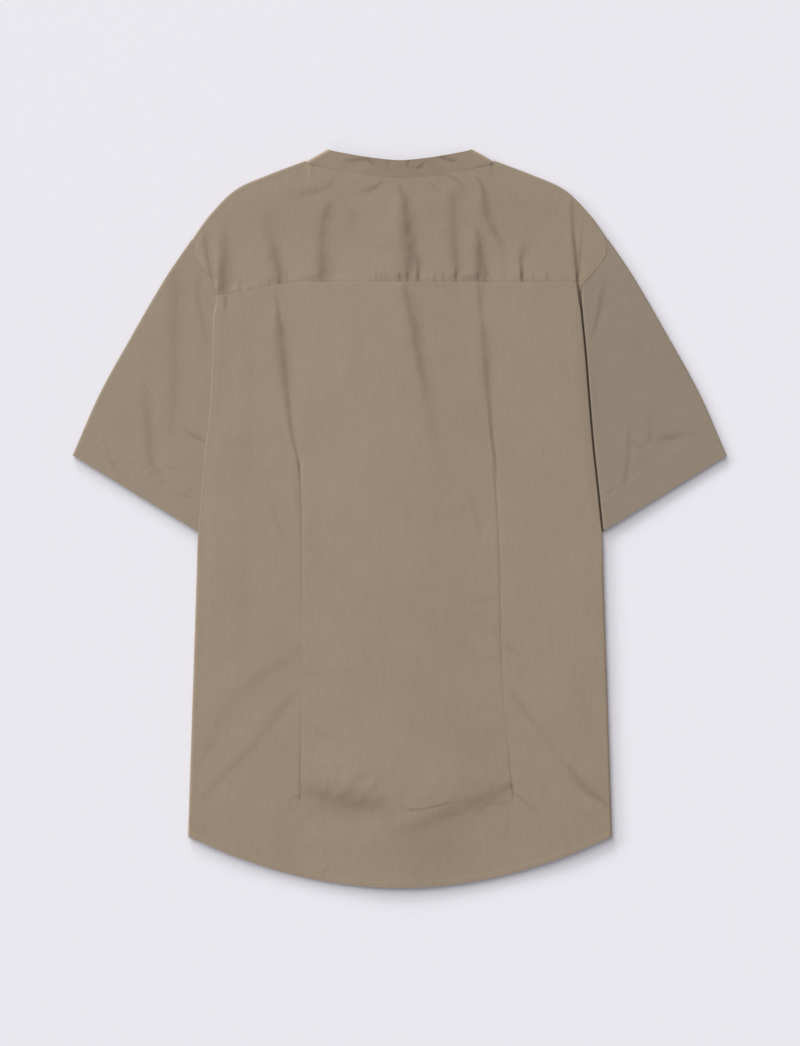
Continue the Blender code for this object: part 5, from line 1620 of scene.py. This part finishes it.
def row_at(place, c, edge, distance):
    """The grid row that lies this far in from an edge row, at each column."""
    step = STEP if edge < 1 else -STEP
    gap = np.subtract(place(c, 0 * c + edge + step), place(c, 0 * c + edge))
    return edge + step * distance / np.linalg.norm(gap, axis=0)


def sewn(name, *rows):
    """All the rows of stitches of one panel as one piece."""
    bm = bmesh.new()
    for row in rows:
        stitch_row(bm, *row)
    return thread_piece(name, bm)


def thread_piece(name, bm):
    """The beads as one piece of thread, counted."""
    piece = finished_piece(name, bm, thread)
    print(name, "has", len(piece.data.polygons) // BEAD_FACES, "stitches")
    return piece


# %% Sew back, yoke and fronts
HEM_ROW, SEAM_ROW = 4 * MM, 1.6 * MM    # stitches lie this far in from a hem, and above the seam
PLACKET_ROWS = (-0.72, 0.72)    # shares of its half width
open_width = np.linspace(-0.985, 0.985, 300)
hem_row = row_at(back_place, open_width, 0, HEM_ROW)
back_stitches = sewn("back_stitches", (back_place, open_width, hem_row, 1))

seam_row = row_at(yoke_place, open_width, 0, SEAM_ROW)
rise = np.linspace(0.02, 0.98, 150)
neck_side = np.linspace(0.52, 0.985, 150)
yoke_stitches = sewn(
    "yoke_stitches", (yoke_place, open_width, seam_row, 1),
    *((yoke_place, side * 0.987, rise, 1) for side in (-1, 1)),
    *((yoke_place, side * neck_side, 1.985, -1) for side in (-1, 1)),
)
for name, side, inner_x in FRONTS:
    place = lambda c, r: front_place(c, r, side, inner_x)
    columns = np.linspace(0.01, 0.99, 150)
    sewn(
        f"front_stitches_{name}", (place, columns, row_at(place, columns, 0, HEM_ROW), -1),
    )
length = np.linspace(0.004, 0.996, 400)
placket_stitches = sewn(
    "placket_stitches",
    *((placket_place, edge, length, -1, PLACKET_WALL) for edge in PLACKET_ROWS),
)

# %% Sew band and sleeves
BAND_ROWS = (0.09, 0.92)        # shares of its height
once_round = np.linspace(-0.99, 0.99, 600)
band_stitches = sewn(
    "band_stitches", *((band_place, once_round, share, -1, BAND_WALL) for share in BAND_ROWS),
)
for name, side in SIDES:
    place = lambda c, s: sleeve_place(c, s, side)
    around = np.linspace(-0.95, 2.95, 700)
    sewn(f"sleeve_stitches_{name}", (place, around, HEM_ROWS + 0.008, 1))

# %% [markdown]
# ## Buttons and buttonholes
# Seven small buttons are cast in resin and turned: a raised rim, a dished middle and four holes.
# One half section, spun round, gives the whole button, and the points near each hole are pressed
# in. The buttons lie face down on the table, and threads over the holes and a short shank hold each
# one to the cloth above. A buttonhole is a slit whose two sides are covered by close stitches.

# %% Turn a button
BUTTON_SECTION = (
    # radius, height in millimetres; the face is down
    (0, 0.55), (0.4, 0.55), (0.75, 0.55), (1.1, 0.55), (1.45, 0.55), (1.8, 0.55), (2.15, 0.55),
    (2.6, 0.55), (3.1, 0.48), (3.5, 0.25), (3.9, 0.07), (4.3, 0), (4.7, 0), (5.05, 0.08),
    (5.3, 0.25), (5.45, 0.5), (5.5, 0.9), (5.42, 1.3), (5.15, 1.6), (4.6, 1.76), (3.0, 1.8),
    (0, 1.8),
)
HOLE_PLACE, HOLE_RADIUS, HOLE_DEPTH = 1.1 * MM, 0.8 * MM, 0.7 * MM
BUTTON_THICK = 1.8 * MM
FACE_TOP = 0.6 * MM             # points lower than this are on the face
BUTTON_Y = [0.222 - 0.092 * i for i in range(6)]        # 92 mm apart
BAND_BUTTON_Y = 0.302
CORNERS = [(1, 1), (-1, 1), (-1, -1), (1, -1)]


def turned_button(name, y):
    """The section spun round, with four holes pressed into its face."""
    bm = bmesh.new()
    verts = [bm.verts.new((radius * MM, 0, height * MM)) for radius, height in BUTTON_SECTION]
    edges = [bm.edges.new(pair) for pair in zip(verts, verts[1:])]
    bmesh.ops.spin(
        bm, geom=verts + edges, cent=(0, 0, 0), axis=(0, 0, 1), angle=2 * math.pi, steps=48,
        use_merge=True,
    )
    bmesh.ops.remove_doubles(bm, verts=bm.verts, dist=MERGE)
    holes = [(u * HOLE_PLACE, v * HOLE_PLACE) for u, v in CORNERS]
    for vert in bm.verts:
        if vert.co.z < FACE_TOP:
            off = min(math.hypot(vert.co.x - u, vert.co.y - v) for u, v in holes)
            vert.co.z += HOLE_DEPTH * (1 - float(ease(0.35 * HOLE_RADIUS, HOLE_RADIUS, off)))
    bmesh.ops.translate(bm, verts=bm.verts, vec=(0, y, 0))
    bmesh.ops.recalc_face_normals(bm, faces=bm.faces)
    return finished_piece(name, bm, resin)


for i, y in enumerate(BUTTON_Y):
    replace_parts(turned_button(f"resin_button_{i + 1}", y), f"button_{i + 1}")
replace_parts(turned_button("resin_button_band", BAND_BUTTON_Y), "button_band")
print(len(BUTTON_Y) + 1, "buttons,", len(BUTTON_SECTION), "points in the section")

# %% Sew the buttons on and work the buttonholes
HOLE_HALF_LENGTH, HOLE_STEP, HOLE_SIDE = 6.5 * MM, 0.55 * MM, 0.85 * MM
# Half the length, width and height of a bead beside the slit, across its end, and over a button.
SIDE_HALF, BAR_HALF = (0.65 * MM, 0.26 * MM, 0.13 * MM), (1.6 * MM, 0.26 * MM, 0.15 * MM)
THREAD_HALF = (1.5 * MM, 0.28 * MM, 0.22 * MM)
SHANK_RADIUS = 0.9 * MM
UNDERSIDE_Z = {"placket": PLACKET_Z - PLACKET_WALL / 2, "band": BAND_LAP_Z - BAND_WALL / 2}


def work_hole(bm, y, z, upright):
    """Close stitches down both sides of a slit and a bar at each end, under the cloth."""
    down = Vector((0, 0, -1))
    long, wide = Vector((0, 1, 0)), Vector((1, 0, 0))
    if not upright:
        long, wide = wide, long
    middle = Vector((0, y, z))
    for u in np.arange(-HOLE_HALF_LENGTH, HOLE_HALF_LENGTH + HOLE_STEP / 2, HOLE_STEP):
        for v in (-HOLE_SIDE, HOLE_SIDE):
            bead(bm, middle + long * u + wide * v, wide, down, SIDE_HALF)
    for end in (-1, 1):
        for u in (0.3 * MM, 0.8 * MM):
            spot = middle + long * end * (HOLE_HALF_LENGTH + u)
            bead(bm, spot, wide, down, BAR_HALF)


def sew_button(bm, y, top_z):
    """Two threads over the holes on the face, and a shank up to the cloth."""
    for u in (-1, 1):
        spot = Vector((u * HOLE_PLACE, y, 0.5 * MM))
        bead(bm, spot, (0, 1, 0), (0, 0, -1), THREAD_HALF)
    height = top_z - BUTTON_THICK + 0.2 * MM
    place = Matrix.Translation((0, y, BUTTON_THICK - 0.1 * MM + height / 2))
    bmesh.ops.create_cone(
        bm, cap_ends=True, segments=12, radius1=SHANK_RADIUS, radius2=SHANK_RADIUS, depth=height,
        matrix=place,
    )


bm = bmesh.new()
for y in BUTTON_Y:
    work_hole(bm, y, UNDERSIDE_Z["placket"], upright=True)
work_hole(bm, BAND_BUTTON_Y, UNDERSIDE_Z["band"], upright=False)
buttonholes = thread_piece("buttonhole_stitches", bm)
bm = bmesh.new()
for y in [*BUTTON_Y, BAND_BUTTON_Y]:
    sew_button(bm, y, UNDERSIDE_Z["placket"])
button_threads = thread_piece("button_threads", bm)

# %% [markdown]
# ## The table
# A large plain plane, 0.3 mm below the shirt, in matt white laminate.


table = bpy.data.meshes.new("table")
bm = bmesh.new()
bmesh.ops.create_grid(bm, x_segments=1, y_segments=1, size=30.0)
bmesh.ops.translate(bm, verts=bm.verts, vec=(0, 0, -0.3 * MM))
bm.to_mesh(table)
bm.free()
laminate, _ = finish_of("matt_white_laminate", "#eae9ee", roughness=0.9, ior=1.5, sheen=0.0)
table.materials.append(laminate)
table = bpy.data.objects.new("table", table)
bpy.context.scene.collection.objects.link(table)
